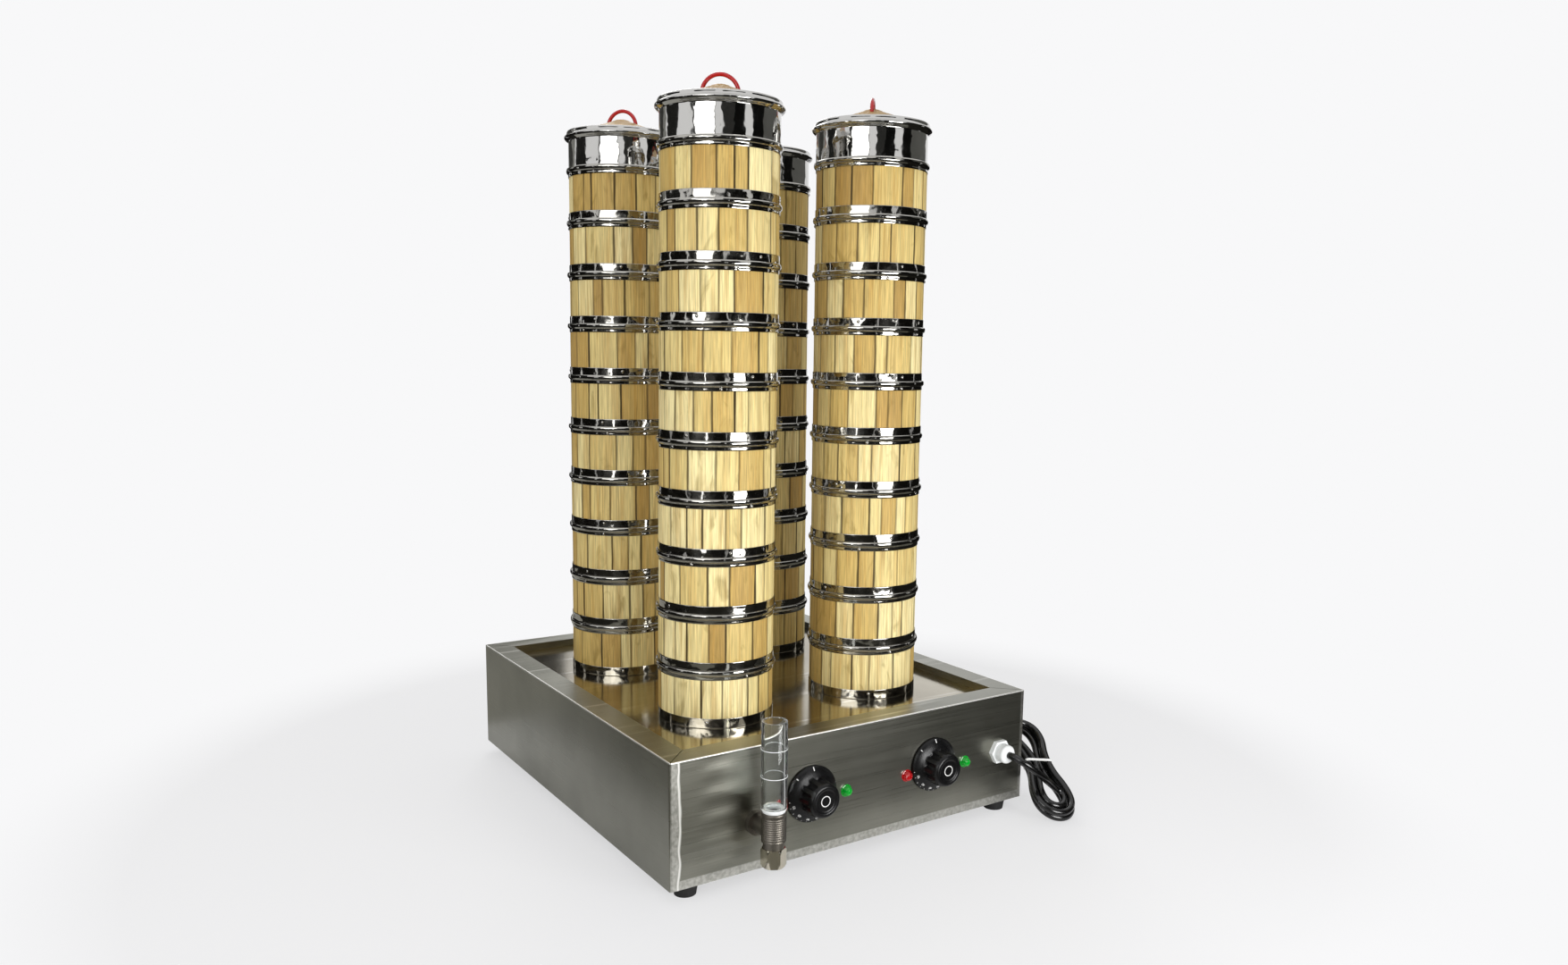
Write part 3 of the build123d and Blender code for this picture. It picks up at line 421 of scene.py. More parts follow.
def split_wood():
    """Planed pine and bamboo staves: straight grain, each stave its own tone, dark joints."""
    made, tree, shader = material("planed_wood_staves")
    grain = add(tree, "Attribute", out="Vector", attribute_name="grain")
    tone = add(tree, "Attribute", out="Vector", attribute_name="tone")
    own, near_edge, gap_dark = add(tree, "SeparateXYZ", [tone], out=None)
    base = add(tree, "ValToRGB", [own], stops=WOOD_TONES)
    # Grain streaks 1.2 mm wide and 40 mm long, with finer fibres 0.4 mm wide.
    wide = add(tree, "Mapping", {"Vector": grain, "Scale": (800, 25, 1)})
    fine = add(tree, "Mapping", {"Vector": grain, "Scale": (2600, 60, 1)})
    streak = add(tree, "TexNoise", {"Vector": wide, "Scale": 1.0, "Detail": 4.0, "Distortion": 0.3})
    fibre = add(tree, "TexNoise", {"Vector": fine, "Scale": 1.0, "Detail": 2.0})
    # Growth bands a few millimetres wide.
    bands = add(tree, "Mapping", {"Vector": grain, "Scale": (230, 7, 1)})
    band = add(tree, "TexNoise", {"Vector": bands, "Scale": 1.0, "Detail": 1.0, "Distortion": 0.8})
    deep = add(tree, "MapRange", [band, 0.45, 0.75, 0, 0.6])
    tinted = add(tree, "Mix", {0: deep, 6: base, 7: "#B48A3E"}, out=2, data_type="RGBA")
    # Olive stains and heartwood, 20 mm wide and 50 mm long, on a stave here and there.
    spots = add(tree, "Mapping", {"Vector": grain, "Scale": (50, 18, 40)})
    spot = add(tree, "TexNoise", {"Vector": spots, "Scale": 1.0, "Detail": 3.0, "Distortion": 1.2})
    stain = add(tree, "MapRange", [spot, 0.6, 0.72, 0, 0.5])
    tinted = add(tree, "Mix", {0: stain, 6: tinted, 7: "#937832"}, out=2, data_type="RGBA")
    streaks = add(tree, "MapRange", [streak, 0.35, 0.7, 1.08, 0.66])
    fibres = add(tree, "MapRange", [fibre, 0.3, 0.7, 1.05, 0.93])
    shade = add(tree, "Math", [streaks, fibres], operation="MULTIPLY")
    shaded = add(tree, "VectorMath", {0: tinted, "Scale": shade}, operation="SCALE")
    # Dark, faintly green joints, a millimetre or so wide and uneven.
    rag = add(tree, "Math", [streak, 0.25], operation="MULTIPLY")
    reach = add(tree, "Math", [near_edge, rag], operation="ADD")
    joint = add(tree, "MapRange", [reach, 0.92, 1.04])
    dark = add(tree, "Math", [joint, gap_dark], operation="MULTIPLY")
    colour = add(tree, "Mix", {0: dark, 6: shaded, 7: "#43340F"}, out=2, data_type="RGBA")
    bump = add(tree, "Bump", {"Height": streak, "Strength": 0.25, "Distance": 0.0003})
    feed(shader, {"Base Color": colour, "Roughness": 0.6, "Normal": bump,
                  "Specular IOR Level": 0.35})
    return made


def plain(name, hex_colour, roughness, hex_mottle, scale, bump_mm=0.05, **more):
    """A moulded or cast surface: one colour with a faint mottle and the mould's fine texture."""
    made, tree, shader = material(name)
    place = add(tree, "TexCoord", out="Object")
    mottle = add(tree, "TexNoise", {"Vector": place, "Scale": scale, "Detail": 4.0})
    colour = add(tree, "ValToRGB", [mottle], stops=[(0.3, hex_colour), (0.75, hex_mottle)])
    rough = add(tree, "MapRange", [mottle, 0.3, 0.7, roughness * 0.85, roughness * 1.2])
    bump = add(tree, "Bump", {"Height": mottle, "Strength": 0.2, "Distance": bump_mm * MM})
    feed(shader, {"Base Color": colour, "Roughness": rough, "Normal": bump})
    feed(shader, {key.replace("_", " "): value for key, value in more.items()})
    return made


def woven_bamboo():
    """Split bamboo, woven: each strip its own tan, with fibres along it."""
    made, tree, shader = material("woven_split_bamboo")
    place = add(tree, "Attribute", out="Vector", attribute_name="strip")
    split = add(tree, "SeparateXYZ", [place], out=None)
    tone = add(tree, "TexWhiteNoise", {"W": split["Z"]}, out="Value", noise_dimensions="1D")
    base = add(tree, "ValToRGB", [tone], stops=[(0, "#C9A263"), (0.5, "#D8B777"), (1, "#B98D4C")])
    # Fibres 0.5 mm apart, 40 mm long.
    along = add(tree, "Mapping", {"Vector": place, "Scale": (2000, 25, 1)})
    fibre = add(tree, "TexNoise", {"Vector": along, "Scale": 1.0, "Detail": 3.0})
    shade = add(tree, "MapRange", [fibre, 0.3, 0.7, 1.08, 0.75])
    colour = add(tree, "VectorMath", {0: base, "Scale": shade}, operation="SCALE")
    bump = add(tree, "Bump", {"Height": fibre, "Strength": 0.3, "Distance": 0.0003})
    feed(shader, {"Base Color": colour, "Roughness": 0.5, "Normal": bump})
    return made


def clear_plastic():
    """Acrylic tube, extruded: clear, with bright edges where its wall is seen end on."""
    made, tree, shader = material("clear_acrylic")
    place = add(tree, "TexCoord", out="Object")
    haze = add(tree, "TexNoise", {"Vector": place, "Scale": 90.0, "Detail": 2.0})
    rough = add(tree, "MapRange", [haze, 0.4, 0.8, 0, 0.08])
    feed(shader, {"Base Color": "#FBFDFC", "Roughness": rough, "Transmission Weight": 1.0,
                  "IOR": 1.35, "Sheen Weight": 0.35, "Sheen Roughness": 0.3})
    return made


def lamp_plastic(name, hex_colour, glow):
    """Tinted polycarbonate lens over a lit lamp."""
    made, tree, shader = material(name)
    place = add(tree, "TexCoord", out="Object")
    mottle = add(tree, "TexNoise", {"Vector": place, "Scale": 500.0, "Detail": 2.0})
    rough = add(tree, "MapRange", [mottle, 0, 1, 0.08, 0.2])
    feed(shader, {"Base Color": hex_colour, "Roughness": rough, "Coat Weight": 0.4,
                  "Emission Color": hex_colour, "Emission Strength": glow})
    return made


# The casing's steel carries painted highlights on its hems and top edges and a painted shadow in
# its mitred joints.
case_steel = brushed_steel("brushed_stainless_case", "#85857B", "#9D9C92", 0.3, painted_edges=True)
deck_steel = brushed_steel("brushed_stainless_deck", "#9C9584", "#BDB6A4", 0.13)
tank_steel = brushed_steel("pressed_stainless_tank", "#8C8A82", "#A9A69C", 0.35)
hoop_steel = polished_steel("polished_stainless_hoop", "#B4B2AC", 0.06, 0.7, 3.0)
lid_steel = polished_steel("polished_stainless_lid", "#C9C8C5", 0.04, 0.45, 3.0)
nickel = polished_steel("nickel_plated_brass", "#77726A", 0.4, 0.4)
bright_nickel = polished_steel("nickel_plated_hexagon", "#DDD6C4", 0.12, 0.3)
element_steel = plain("heating_element_sheath", "#5B5852", 0.35, "#77726A", 120.0, Metallic=1.0)
stave_wood = split_wood()
bamboo_weave = woven_bamboo()
red_coat = plain("red_dipped_pvc", "#B4060A", 0.25, "#C40C10", 60.0, Coat_Weight=0.5)
black_abs = plain("black_moulded_abs", "#060607", 0.3, "#0B0B0C", 900.0, Specular_IOR_Level=0.35)
white_ink = plain("white_printed_ink", "#E8E8E6", 0.6, "#DADAD8", 400.0)
white_nylon = plain("white_moulded_nylon", "#E9EBEA", 0.42, "#DDE0DF", 300.0)
black_rubber = plain("black_moulded_rubber", "#101010", 0.55, "#1B1B1A", 700.0, bump_mm=0.1)
cord_jacket = plain("black_pvc_cord_jacket", "#060606", 0.22, "#0D0D0D", 300.0, Coat_Weight=0.3)
tie_plastic = plain("white_plastic_tie", "#F2F2F0", 0.35, "#E6E6E4", 300.0)
clear_tube = clear_plastic()
lens = {"green": lamp_plastic("green_lamp_lens", "#078A24", 0.3),
        "red": lamp_plastic("red_lamp_lens", "#960309", 0.15)}


# Tiers


def tier_place(stack, level):
    """Where a tier stands: its stack leans and wobbles a little."""
    x, y, lean_x, lean_y = STACKS[stack]
    phase = 2.1 * level + x / 50
    return (x + lean_x * level + 0.15 * sin(phase),
            y + lean_y * level + 0.15 * cos(1.7 * phase), DECK_Z + level * STAVE_H)


def stave_angles(seed):
    """Uneven stave widths round one tier, in degrees."""
    i = np.arange(STAVES + seed % 2)
    parts = 1 + 0.3 * np.sin(2.4 * i + 1.7 * seed) + 0.24 * np.sin(5.1 * i + 0.9 * seed)
    return np.concatenate([[0], np.cumsum(parts)]) * 360 / parts.sum()


def staves(seed, draw, paleness_with_painted_light):
    """Each stave is an outline (outer arc, eased corners, flat inside) carried up in rings that
    draw in a little at both ends. Returns the shape and its grain and tone marks."""
    shapes, grain, tone = [], [], []
    angles = stave_angles(seed)
    edges_dark = draw.uniform(0.4, 1.0, len(angles))
    edges_dark[-1] = edges_dark[0]
    slim, ease = degrees(STAVE_GAP / 2 / STAVE_R), STAVE_EASE / STAVE_R
    for n, (start, end) in enumerate(zip(angles, angles[1:])):
        a0, a1 = radians(start + slim), radians(end - slim)
        a = np.concatenate([[a0], np.linspace(a0 + ease, a1 - ease, 7), [a1]])
        r = np.full(9, STAVE_R)
        r[[0, -1]] -= STAVE_EASE
        r[1:-1] += draw.uniform(-0.25, 0.0) + draw.uniform(-0.2, 0.2) * np.linspace(-1, 1, 7)
        r = np.concatenate([np.minimum(r, STAVE_R), np.full(2, STAVE_R - STAVE_T)])
        outline = around(r, np.concatenate([a, [a1, a0]]), 0)
        middle = outline.mean(0)
        shape = stacked([
            middle + (outline - middle) * size + [0, 0, z]
            for z, size in ((0.9, 0.92), (1.3, 1), (22, 1), (44, 1), (64.9, 1), (65.3, 0.92))])
        shapes.append(shape)
        points = shape[0]
        # Across a stave, -1 is its one edge and 1 the other.
        half = (a1 - a0) / 2
        off = np.arctan2(points[:, 1], points[:, 0]) - (a0 + a1) / 2
        across = np.clip(((off + np.pi) % (2 * np.pi) - np.pi) / half, -1.1, 1.1)
        own = np.full(len(points), draw.uniform() ** paleness_with_painted_light)
        offset = draw.uniform(0, 5)
        grain.append(np.stack([across * half * STAVE_R * MM + offset,
                               points[:, 2] * MM + offset * 3, own], -1))
        dark = np.where(across < 0, edges_dark[n], edges_dark[n + 1])
        # How near a joint is: a joint's dark edge is about a millimetre wide on any stave.
        near = 1 - (1 - np.abs(across)) * half * STAVE_R / 8
        tone.append(np.stack([own, near, dark], -1))
    return joined(shapes), np.concatenate(grain), np.concatenate(tone)


def slats(draw):
    """Two bearers on the hoop's flange and seven slats across them, with grain and tone marks."""
    low, middle, high = FLOOR_LEVELS
    reach = STAVE_R - STAVE_T - 1.0
    side = BEARER_X + BEARER_W / 2
    half = sqrt(reach**2 - side**2)
    shapes = [bar(x - BEARER_W / 2, x + BEARER_W / 2, -half, half, low, middle)
              for x in (-BEARER_X, BEARER_X)]
    for i in range(SLATS):
        y = (i - SLATS // 2) * 2 * (reach - SLAT_W) / (SLATS - 1)
        half = max(sqrt(reach**2 - (abs(y) + SLAT_W / 2) ** 2), side)
        shapes.append(bar(-half, half, y - SLAT_W / 2, y + SLAT_W / 2, middle, high))
    shape = joined(shapes)
    points = shape[0]
    sizes = [len(s[0]) for s in shapes]
    own = np.repeat(draw.uniform(size=len(shapes)), sizes)[:, None]
    long_x = np.repeat([0, 0] + [1] * SLATS, sizes)[:, None]
    run = np.where(long_x, points[:, [1, 0]], points[:, [0, 1]]) * MM
    return shape, np.concatenate([run + own * 3, own], 1), own * [1, 0, 0]


def ripple(seed, count, amount):
    """Slow dents round a band, with a thicker stretch where its two ends lap."""
    a = circle(count)
    wave = np.sin(3 * a + seed) + 0.7 * np.sin(5 * a + 2.3 * seed)
    wave += 0.5 * np.sin(11 * a + 1.1 * seed)
    lap = np.exp(-(((a - 0.4 * (seed % 7)) % (2 * np.pi) - 0.5) / 0.09) ** 6)
    return amount * wave - 2 * amount + 0.15 * lap


def rivet_domes(angles, height, radius=HOOP_R - 0.1):
    """Domed heads: a round cap turned about the outward direction at each angle."""
    a = np.linspace(0, np.pi / 2, 5)
    dome = np.stack([2.1 * np.cos(a), 1.3 * np.sin(a) - 0.2], -1)
    cap, quads, tris = turned(dome, 12, closed=False)
    shapes = []
    for angle in np.radians(angles):
        c, s = cos(angle), sin(angle)
        # Its x goes along the hoop, its y up and its z outwards.
        turn = np.array([[-s, c, 0], [0, 0, 1], [c, s, 0]])
        shapes.append((cap @ turn + [radius * c, radius * s, height], quads, tris))
    return joined(shapes)


def hoops(seed):
    """The flanged bottom hoop, the beaded top hoop and their rivets, as turned closed profiles."""
    low = [(HOOP_INNER_R, 0), (HOOP_R - 0.5, 0), (HOOP_R - 0.1, 0.2), (HOOP_R, 0.5), (HOOP_R, 0.9),
           (HOOP_R, 4), (HOOP_R, 8), (HOOP_R, 10.8), (HOOP_R, 11.2), (HOOP_R - 0.2, HOOP_H),
           (HOOP_R - 0.6, HOOP_H), (STAVE_R, 11.2), (STAVE_R, 0.8), (HOOP_INNER_R, 0.8)]
    bead = [(STAVE_R, BEAD_LOW), (68.6, BEAD_LOW), (HOOP_R, BEAD_LOW + 0.3), (HOOP_R, 58.4),
            (HOOP_R, 60.4), (69.0, 60.9), (69.7, 61.3), (70.5, 62.1), (71.0, 63.2), (71.2, 64.6),
            (71.0, 66.0), (70.6, 67.1), (70.2, 67.4), (69.9, 67.3), (SOCKET_R, 67.0),
            (SOCKET_R, STAVE_H), (STAVE_R, STAVE_H)]
    count = 112
    shapes = []
    # What lies on the staves stays round, and the rest ripples.
    for profile, own, amount in ((low, seed, 0.035), (bead, seed + 3, 0.02)):
        free = np.array([[r > STAVE_R + 0.01] for r, _ in profile])
        shapes.append(turned(profile, count, free * ripple(own, count, amount)))
    n = np.arange(RIVETS)
    angles = 360 * (n + 0.22 * np.sin(3 * n + seed)) / RIVETS
    lower = rivet_domes(angles, HOOP_H * 0.6)
    return joined(shapes + [lower, rivet_domes(angles + 31 + 9 * cos(seed), BEAD_LOW + 2.25)])


for n, stack in enumerate(STACKS):
    for level in range(TIERS):
        seed = 10 * n + level
        draw = np.random.default_rng(100 + seed)
        node = f"tier_{stack}_{level + 1:02d}"
        at, turn = tier_place(stack, level), 47 * seed
        # The staves' tones carry painted light: each tier up runs a little darker.
        shape, grain, tone = staves(seed, draw, STACK_PALENESS[stack] - PAINTED_LIGHT_FALL * level)
        piece(f"staves_{node}", node, moved(shape, turn, at), stave_wood,
              marks={"grain": grain, "tone": tone}, replaces=[node])
        shape, grain, tone = slats(draw)
        piece(f"floor_{node}", node, moved(shape, turn, at), stave_wood,
              marks={"grain": grain, "tone": tone})
        piece(f"hoops_{node}", node, moved(hoops(seed), turn, at), hoop_steel,
              crease=50)


# Lids


def dome_height(r):
    """The panel's height over its seat: a straight slope, then a round nose."""
    nose = 0.8 * DOME_H
    rise = DOME_H - nose
    ball = (DOME_NOSE_R**2 + rise**2) / (2 * rise)
    slope = nose * (DOME_R - r) / (DOME_R - DOME_NOSE_R)
    round_nose = DOME_H - ball + np.sqrt(np.maximum(ball**2 - r**2, 0))
    return np.where(r > DOME_R, 0, np.where(r > DOME_NOSE_R, slope, round_nose))


def lid_collar(seed):
    """Plain wall, flared lip, upper rim and inward ledge, as one turned closed profile."""
    wall_in = LID_WALL_R - 0.8
    profile = [(wall_in, 0), (68.2, 0)]
    profile += [(LID_WALL_R, z) for z in (0.3, 0.9, 12, 24, 35.2, 35.8)]
    profile += [(68.9, 36.4), (70.4, 37.3), (72.2, 38.5), (73.3, 39.8), (73.7, 41.0), (73.4, 42.1),
                (72.4, 42.9), (71.2, 43.3), (70.7, 43.9), (70.6, 46.0), (70.4, 47.4), (69.8, 48.3),
                (69.0, 48.6), (64.2, 48.6), (64.0, 48.4), (64.0, 48.0), (64.2, LID_SEAT),
                (67.2, LID_SEAT), (wall_in, 47.4)]
    count = 160
    free = np.array([[r > wall_in and z <= 47.6] for r, z in profile])
    return turned(profile, count, free * ripple(seed, count, 0.08))


def lid_panel():
    """A domed disc woven two over, two under, its strips raised and lowered. Its rings run from
    the underside's middle outwards and back over the top. Returns the shape and its strip marks."""
    rows, count = 90, 240
    r = np.linspace(PANEL_R, 0.6, rows)
    a = circle(count)
    x, y = r[:, None] * np.cos(a), r[:, None] * np.sin(a)
    i, j = np.floor(x / STRIP_W), np.floor(y / STRIP_W)
    over = (i + j) % 4 < 2
    crown = np.where(over, x / STRIP_W - i, y / STRIP_W - j)
    lift = STRIP_LIFT * np.cos(np.pi * (crown - 0.5)) * np.clip((65.0 - r) / 4, 0, 1)[:, None]
    z = LID_SEAT + dome_height(r)[:, None] + lift - STRIP_LIFT
    top = np.stack([x, y, z], -1)
    under = top[::-1] - [0, 0, PANEL_T - STRIP_LIFT]
    nose = LID_SEAT + DOME_H
    shape = stacked(np.concatenate([under, top]), [[0, 0, nose - 3.2], [0, 0, nose - 0.1]])
    # Across a strip, along it, and the strip's own number.
    strip = np.stack([np.where(over, x, y) * MM, np.where(over, y, x) * MM,
                      np.where(over, i * 1.7, j * 2.3 + 91)], -1)
    strip = np.concatenate([strip[::-1], strip]).reshape(-1, 3)
    return shape, np.concatenate([strip, [[0, 0, 1], [0, 0, 1]]])


def lid_handle():
    """A dipped wire loop on an arc through its two feet and its top."""
    foot, top = LID_SEAT + 0.5 * DOME_H, HANDLE_TOP - WIRE_R
    rise = top - foot
    ball = (HANDLE_REACH**2 + rise**2) / (2 * rise)
    half = atan2(HANDLE_REACH, ball - rise)
    a = np.linspace(-half, half, 41)
    return tube(np.stack([ball * np.sin(a), 0 * a, top - ball + ball * np.cos(a)], -1), WIRE_R)


for n, stack in enumerate(STACKS):
    node = f"lid_{stack}"
    at, turn = tier_place(stack, TIERS), LID_TURN[stack]
    panel, strip = lid_panel()
    piece(f"collar_{node}", node, moved(lid_collar(n + 2), turn, at), lid_steel,
          crease=50, replaces=[node])
    piece(f"panel_{node}", node, moved(panel, turn, at), bamboo_weave, crease=60,
          marks={"strip": strip})
    piece(f"handle_{node}", node, moved(lid_handle(), turn, at), red_coat)


# Knobs


def knob_body():
    """Rings of radius r(angle, height): a skirt, then a grip whose ten flutes are bites of a
    4.5 mm circle. A profile point is its radius, its height and how deep the flutes are there."""
    count = 360
    a = circle(count)
    profile = [(26.0, 3.5, 0), (26.0, 0.3, 0), (26.3, 0, 0), (32.0, 0, 0), (32.5, 0.5, 0),
               (32.5, 2.2, 0), (32.2, 2.8, 0), (28.5, 5.1, 0), (24.6, 7.4, 0), (22.2, 8.1, 0),
               (21.4, 8.6, 0), (21.1, 9.1, 0.6), (21.0, 9.6, 1), (20.9, 13.0, 1), (20.7, 17.0, 1),
               (20.5, 21.0, 1), (20.2, 24.0, 1), (20.1, 24.6, 1), (19.9, 25.2, 0.7),
               (19.8, 25.6, 0.25), (19.6, 26.2, 0), (19.1, 27.6, 0), (18.2, 28.9, 0),
               (17.2, 29.6, 0), (16.2, 29.95, 0), (14.8, 30.0, 0), (13.6, 29.7, 0), (12.8, 29.0, 0),
               (12.2, 28.6, 0), (10.6, 28.5, 0), (4.0, 28.5, 0)]
    reach, bite, flutes = 22.575, 4.5, 10
    off = a % (2 * np.pi / flutes) - np.pi / flutes
    inside = np.maximum(bite**2 - (reach * np.sin(off)) ** 2, 0)
    wall = np.where(inside > 0, reach * np.cos(off) - np.sqrt(inside), 99)
    return stacked([around(r - depth * np.maximum(r - wall, 0), a, z) for r, z, depth in profile])


def skirt_mark(angle, r0, r1, width):
    """A short printed bar on the skirt's slope, from one radius to another."""
    r, s = np.meshgrid(np.linspace(r0, r1, 4), np.array([-0.5, 0.5]) * width, indexing="ij")
    c, s_a = cos(radians(angle)), sin(radians(angle))
    points = np.stack([r * c - s * s_a, r * s_a + s * c, np.interp(r, *SKIRT) + 0.12], -1)
    return stacked(np.concatenate([points, points[:, ::-1] - [0, 0, 0.3]], 1))


def skirt_number(text, angle):
    """Numerals laid on the skirt's slope, their feet towards the rim's outside."""
    middle = 27.6
    curve = bpy.data.curves.new("numeral", "FONT")
    curve.body = text
    curve.size = 4.2
    curve.align_x, curve.align_y = "CENTER", "CENTER"
    curve.extrude = 0.1
    made = placed("numeral", curve)
    bpy.context.view_layer.update()
    graph = bpy.context.evaluated_depsgraph_get()
    mesh = bpy.data.meshes.new_from_object(made.evaluated_get(graph))
    flat = np.zeros(len(mesh.vertices) * 3)
    mesh.vertices.foreach_get("co", flat)
    x, y, z = flat.reshape(-1, 3).T
    mesh.calc_loop_triangles()
    tris = np.zeros(len(mesh.loop_triangles) * 3, int)
    mesh.loop_triangles.foreach_get("vertices", tris)
    bpy.data.objects.remove(made)
    bpy.data.curves.remove(curve)
    bpy.data.meshes.remove(mesh)
    r = middle + y
    points = around(r, radians(angle) - x / middle, np.interp(r, *SKIRT) + 0.1 + z)
    return points, NO_QUADS, tris.reshape(-1, 3)


def ring_mark(radius, width, z):
    """A thin flat printed ring."""
    top = z + 0.12
    return turned([(radius, z), (radius + width, z), (radius + width, top), (radius, top)], 64)


for side, x in KNOB_X.items():
    body, node = f"{side}_knob", f"control_knob_{side}"
    piece(f"grip_{node}", body, on_panel(knob_body(), x, KNOB_Z, KNOB_GAP), black_abs,
          crease=32, replaces=[node])
    marks = [skirt_number(str(30 * n), DIAL_START + DIAL_STEP * (n - 1)) for n in range(1, 8)]
    marks += [skirt_mark(90, 24.8, 31.6, 1.2), skirt_mark(135, 29.2, 31.4, 0.9)]
    marks += [skirt_mark(186.5 + DIAL_STEP / 2 * n, 30.8, 31.8, 0.45) for n in range(15)]
    marks = joined(marks + [ring_mark(5.3, 0.9, 28.5)])
    piece(f"print_{node}", body, on_panel(marks, x, KNOB_Z, KNOB_GAP), white_ink,
          crease=30)


# Lamps


def lamp_lens():
    """Twelve-sided rings closing over a dome, so that its facets catch the light one by one."""
    dome = [(5.6 * cos(t), 3.4 + 4.5 * sin(t)) for t in np.radians([22, 44, 66])]
    return turned([(6.2, 0), (6.2, 2.6), (5.9, 3.2)] + dome + [(0, 8.0)], 12, closed=False)


for n, (name, (x, colour)) in enumerate(LAMPS.items()):
    piece(f"lens_{name}", "base", on_panel(lamp_lens(), x, LAMP_Z), lens[colour],
          crease=12, replaces=["pilot_lamps"] if n == 0 else [])
    flange = turned([(5.6, 0.02), (7.2, 0.02), (7.3, 0.3), (7.0, 0.9), (6.3, 1.2), (5.8, 1.0)], 40)
    piece(f"bezel_{name}", "base", on_panel(flange, x, LAMP_Z), lens[colour])


# Filler: the clear tube, its white seal, the two level rings, and the tee's rolled thread between
# its two collars, at 2.4 mm a turn because the real 1.6 mm is too fine to show. Each is a closed
# profile turned about the filler's axis.

wall = [(11.25, TUBE_LOW + 0.5), (11.7, TUBE_LOW), (13.6, TUBE_LOW), (14.0, TUBE_LOW + 0.4),
        (14.0, TUBE_TOP - 0.8), (13.6, TUBE_TOP), (11.7, TUBE_TOP), (11.25, TUBE_TOP - 0.4)]
seal = [(7.75, 94), (11.6, 94), (12.1, 94.4), (12.6, 96.0), (13.4, 97.4), (13.9, 98.2),
        (13.9, 98.95), (7.75, 98.95)]
rings = [[(13.95, z), (14.3, z + 0.1), (14.4, z + 0.4), (14.3, z + 0.7), (13.95, z + 0.8)]
         for z in (133.0, 163.0)]
thread = [(12.9, 62.0), (13.2, 62.0), (13.4, 62.4), (13.4, 63.8), (13.1, 64.2)]
thread += [(12.95 + 0.5 * (n % 2), 65.2 + 1.2 * n) for n in range(22)]
thread += [(13.1, 90.6), (13.4, 91.0), (13.4, 93.4), (13.1, 93.9), (12.9, 93.9)]
for name, profile, count, finish, slot, replaces in (
        ("sight_tube_wall", wall, 96, clear_tube, "clear_tube", ["sight_tube"]),
        ("sight_tube_seal", seal, 64, white_nylon, "white_nylon", []),
        ("level_ring_1", rings[0], 96, white_nylon, "white_nylon", []),
        ("level_ring_2", rings[1], 96, white_nylon, "white_nylon", []),
        ("tee_thread", thread, 72, nickel, "chromed_fitting", [])):
    shape = moved(turned(profile, count), at=FILLER)
    piece(name, "base", shape, finish, replaces=replaces)


def hexagon_plug():
    """Rings where a hexagon of 24 mm across flats is cut by a cone at each end, with a dished foot
    below and the round spigot above."""
    a = np.radians(np.arange(0, 360, 5))
    flats = 12.0 / np.cos((a + np.pi / 6) % (np.pi / 3) - np.pi / 6)
    cones = [(5.0, 36.0), (8.6, 36.0), (9.4, 34.2), (11.4, 34.0), (12.6, 34.4), (13.9, 36.2),
             (13.9, 52.6), (12.4, 54.8), (7.6, 54.95), (7.6, 62.0), (6.8, 63.0)]
    return stacked([around(np.minimum(flats, cone), a, z) for cone, z in cones])


piece("hexagon_plug", "drain", moved(hexagon_plug(), at=FILLER), bright_nickel,
      crease=30, replaces=["drain_plug"])


# Cord: one spline from the gland, round the hank and on to the plug


def from_hank(point):
    """A point of the hank's own (width, length, layer) axes, in the scene's. Its upper lobe leans
    towards the casing and down."""
    long = Vector(HANK_RISE).normalized()
    wide = (Vector((1, 0, 0)) - long * long.x).normalized()
    lean = min(max(point[1], 0) / 80, 1) ** 1.5
    place = Vector(HANK_CENTRE) + wide * point[0] + long * point[1]
    return place + wide.cross(long) * point[2] - Vector(HANK_LEAN) * lean


def hank_route():
    """Corners round each lobe and along each run: half turn i goes from the strand at one side
    of the waist to the next strand at the other, spirals out in front and in again behind."""
    last, step = HANK_STRANDS, HANK_STEP / 2
    radius = [step / 2 + step * min(i, last - i) for i in range(last + 1)]
    depth = [step if i <= last // 2 else -step for i in range(last + 1)]
    ease = (HANK_LOBE**2 + HANK_HALF**2) / (4 * HANK_HALF)
    route = []
    for i in range(last):
        side = 1 if i % 2 == 0 else -1
        out, back = side * (radius[i] + HANK_LOBE), -side * (radius[i + 1] + HANK_LOBE)
        if i > 0:
            route.append((side * radius[i], -side * ease, depth[i]))
            route.append((out, -side * (HANK_HALF - ease), depth[i]))
        rounded = abs(out - back) / 2 / cos(pi / 8)
        for turn in (1, 3, 5, 7):
            a = turn * pi / 8
            wider = step / 2 * sin(a) if i == last // 2 else 0
            climb = (depth[i + 1] - depth[i]) * (0.5 - 0.5 * cos(a))
            far = HANK_HALF + (rounded + wider) * sin(a)
            route.append(((out + back) / 2 + side * rounded * cos(a), -side * far,
                          depth[i] + climb))
        route.append((back, -side * (HANK_HALF - ease), depth[i + 1]))
        route.append((-side * radius[i + 1], -side * ease, depth[i + 1]))
    return route


mouth = Vector(GLAND_MOUTH)
start_way = Vector((0.80, 0.04, -0.60))
start = Vector((-6.6, -42.2, 14.8)) - start_way * 9.0
route = [mouth, mouth - Vector((0, GLAND_LEG, 0)), from_hank(start - start_way * 24.0)]
route += [from_hank(p) for p in [(-0.8, -41.9, 10.4), (12.2, -46.2, 5.1)] + hank_route()]
route += [from_hank(p) for p in [(-2.6, 12.0, -5.1), (-4.6, 26.0, -4.9)]]
exit_way = Vector((0.0, 0.90, -0.44))
route.append(from_hank(Vector((-5.0, 34.0, -8.8)) + exit_way * 39.0))
corner, plug = Vector((CASE_W / 2, FRONT, 0)), Vector(PLUG_PLACE)
route += [corner + Vector((39, 105, 36)), corner + Vector((41, 145, 14))]
route += [plug - Vector((0, 38, 0)), plug]

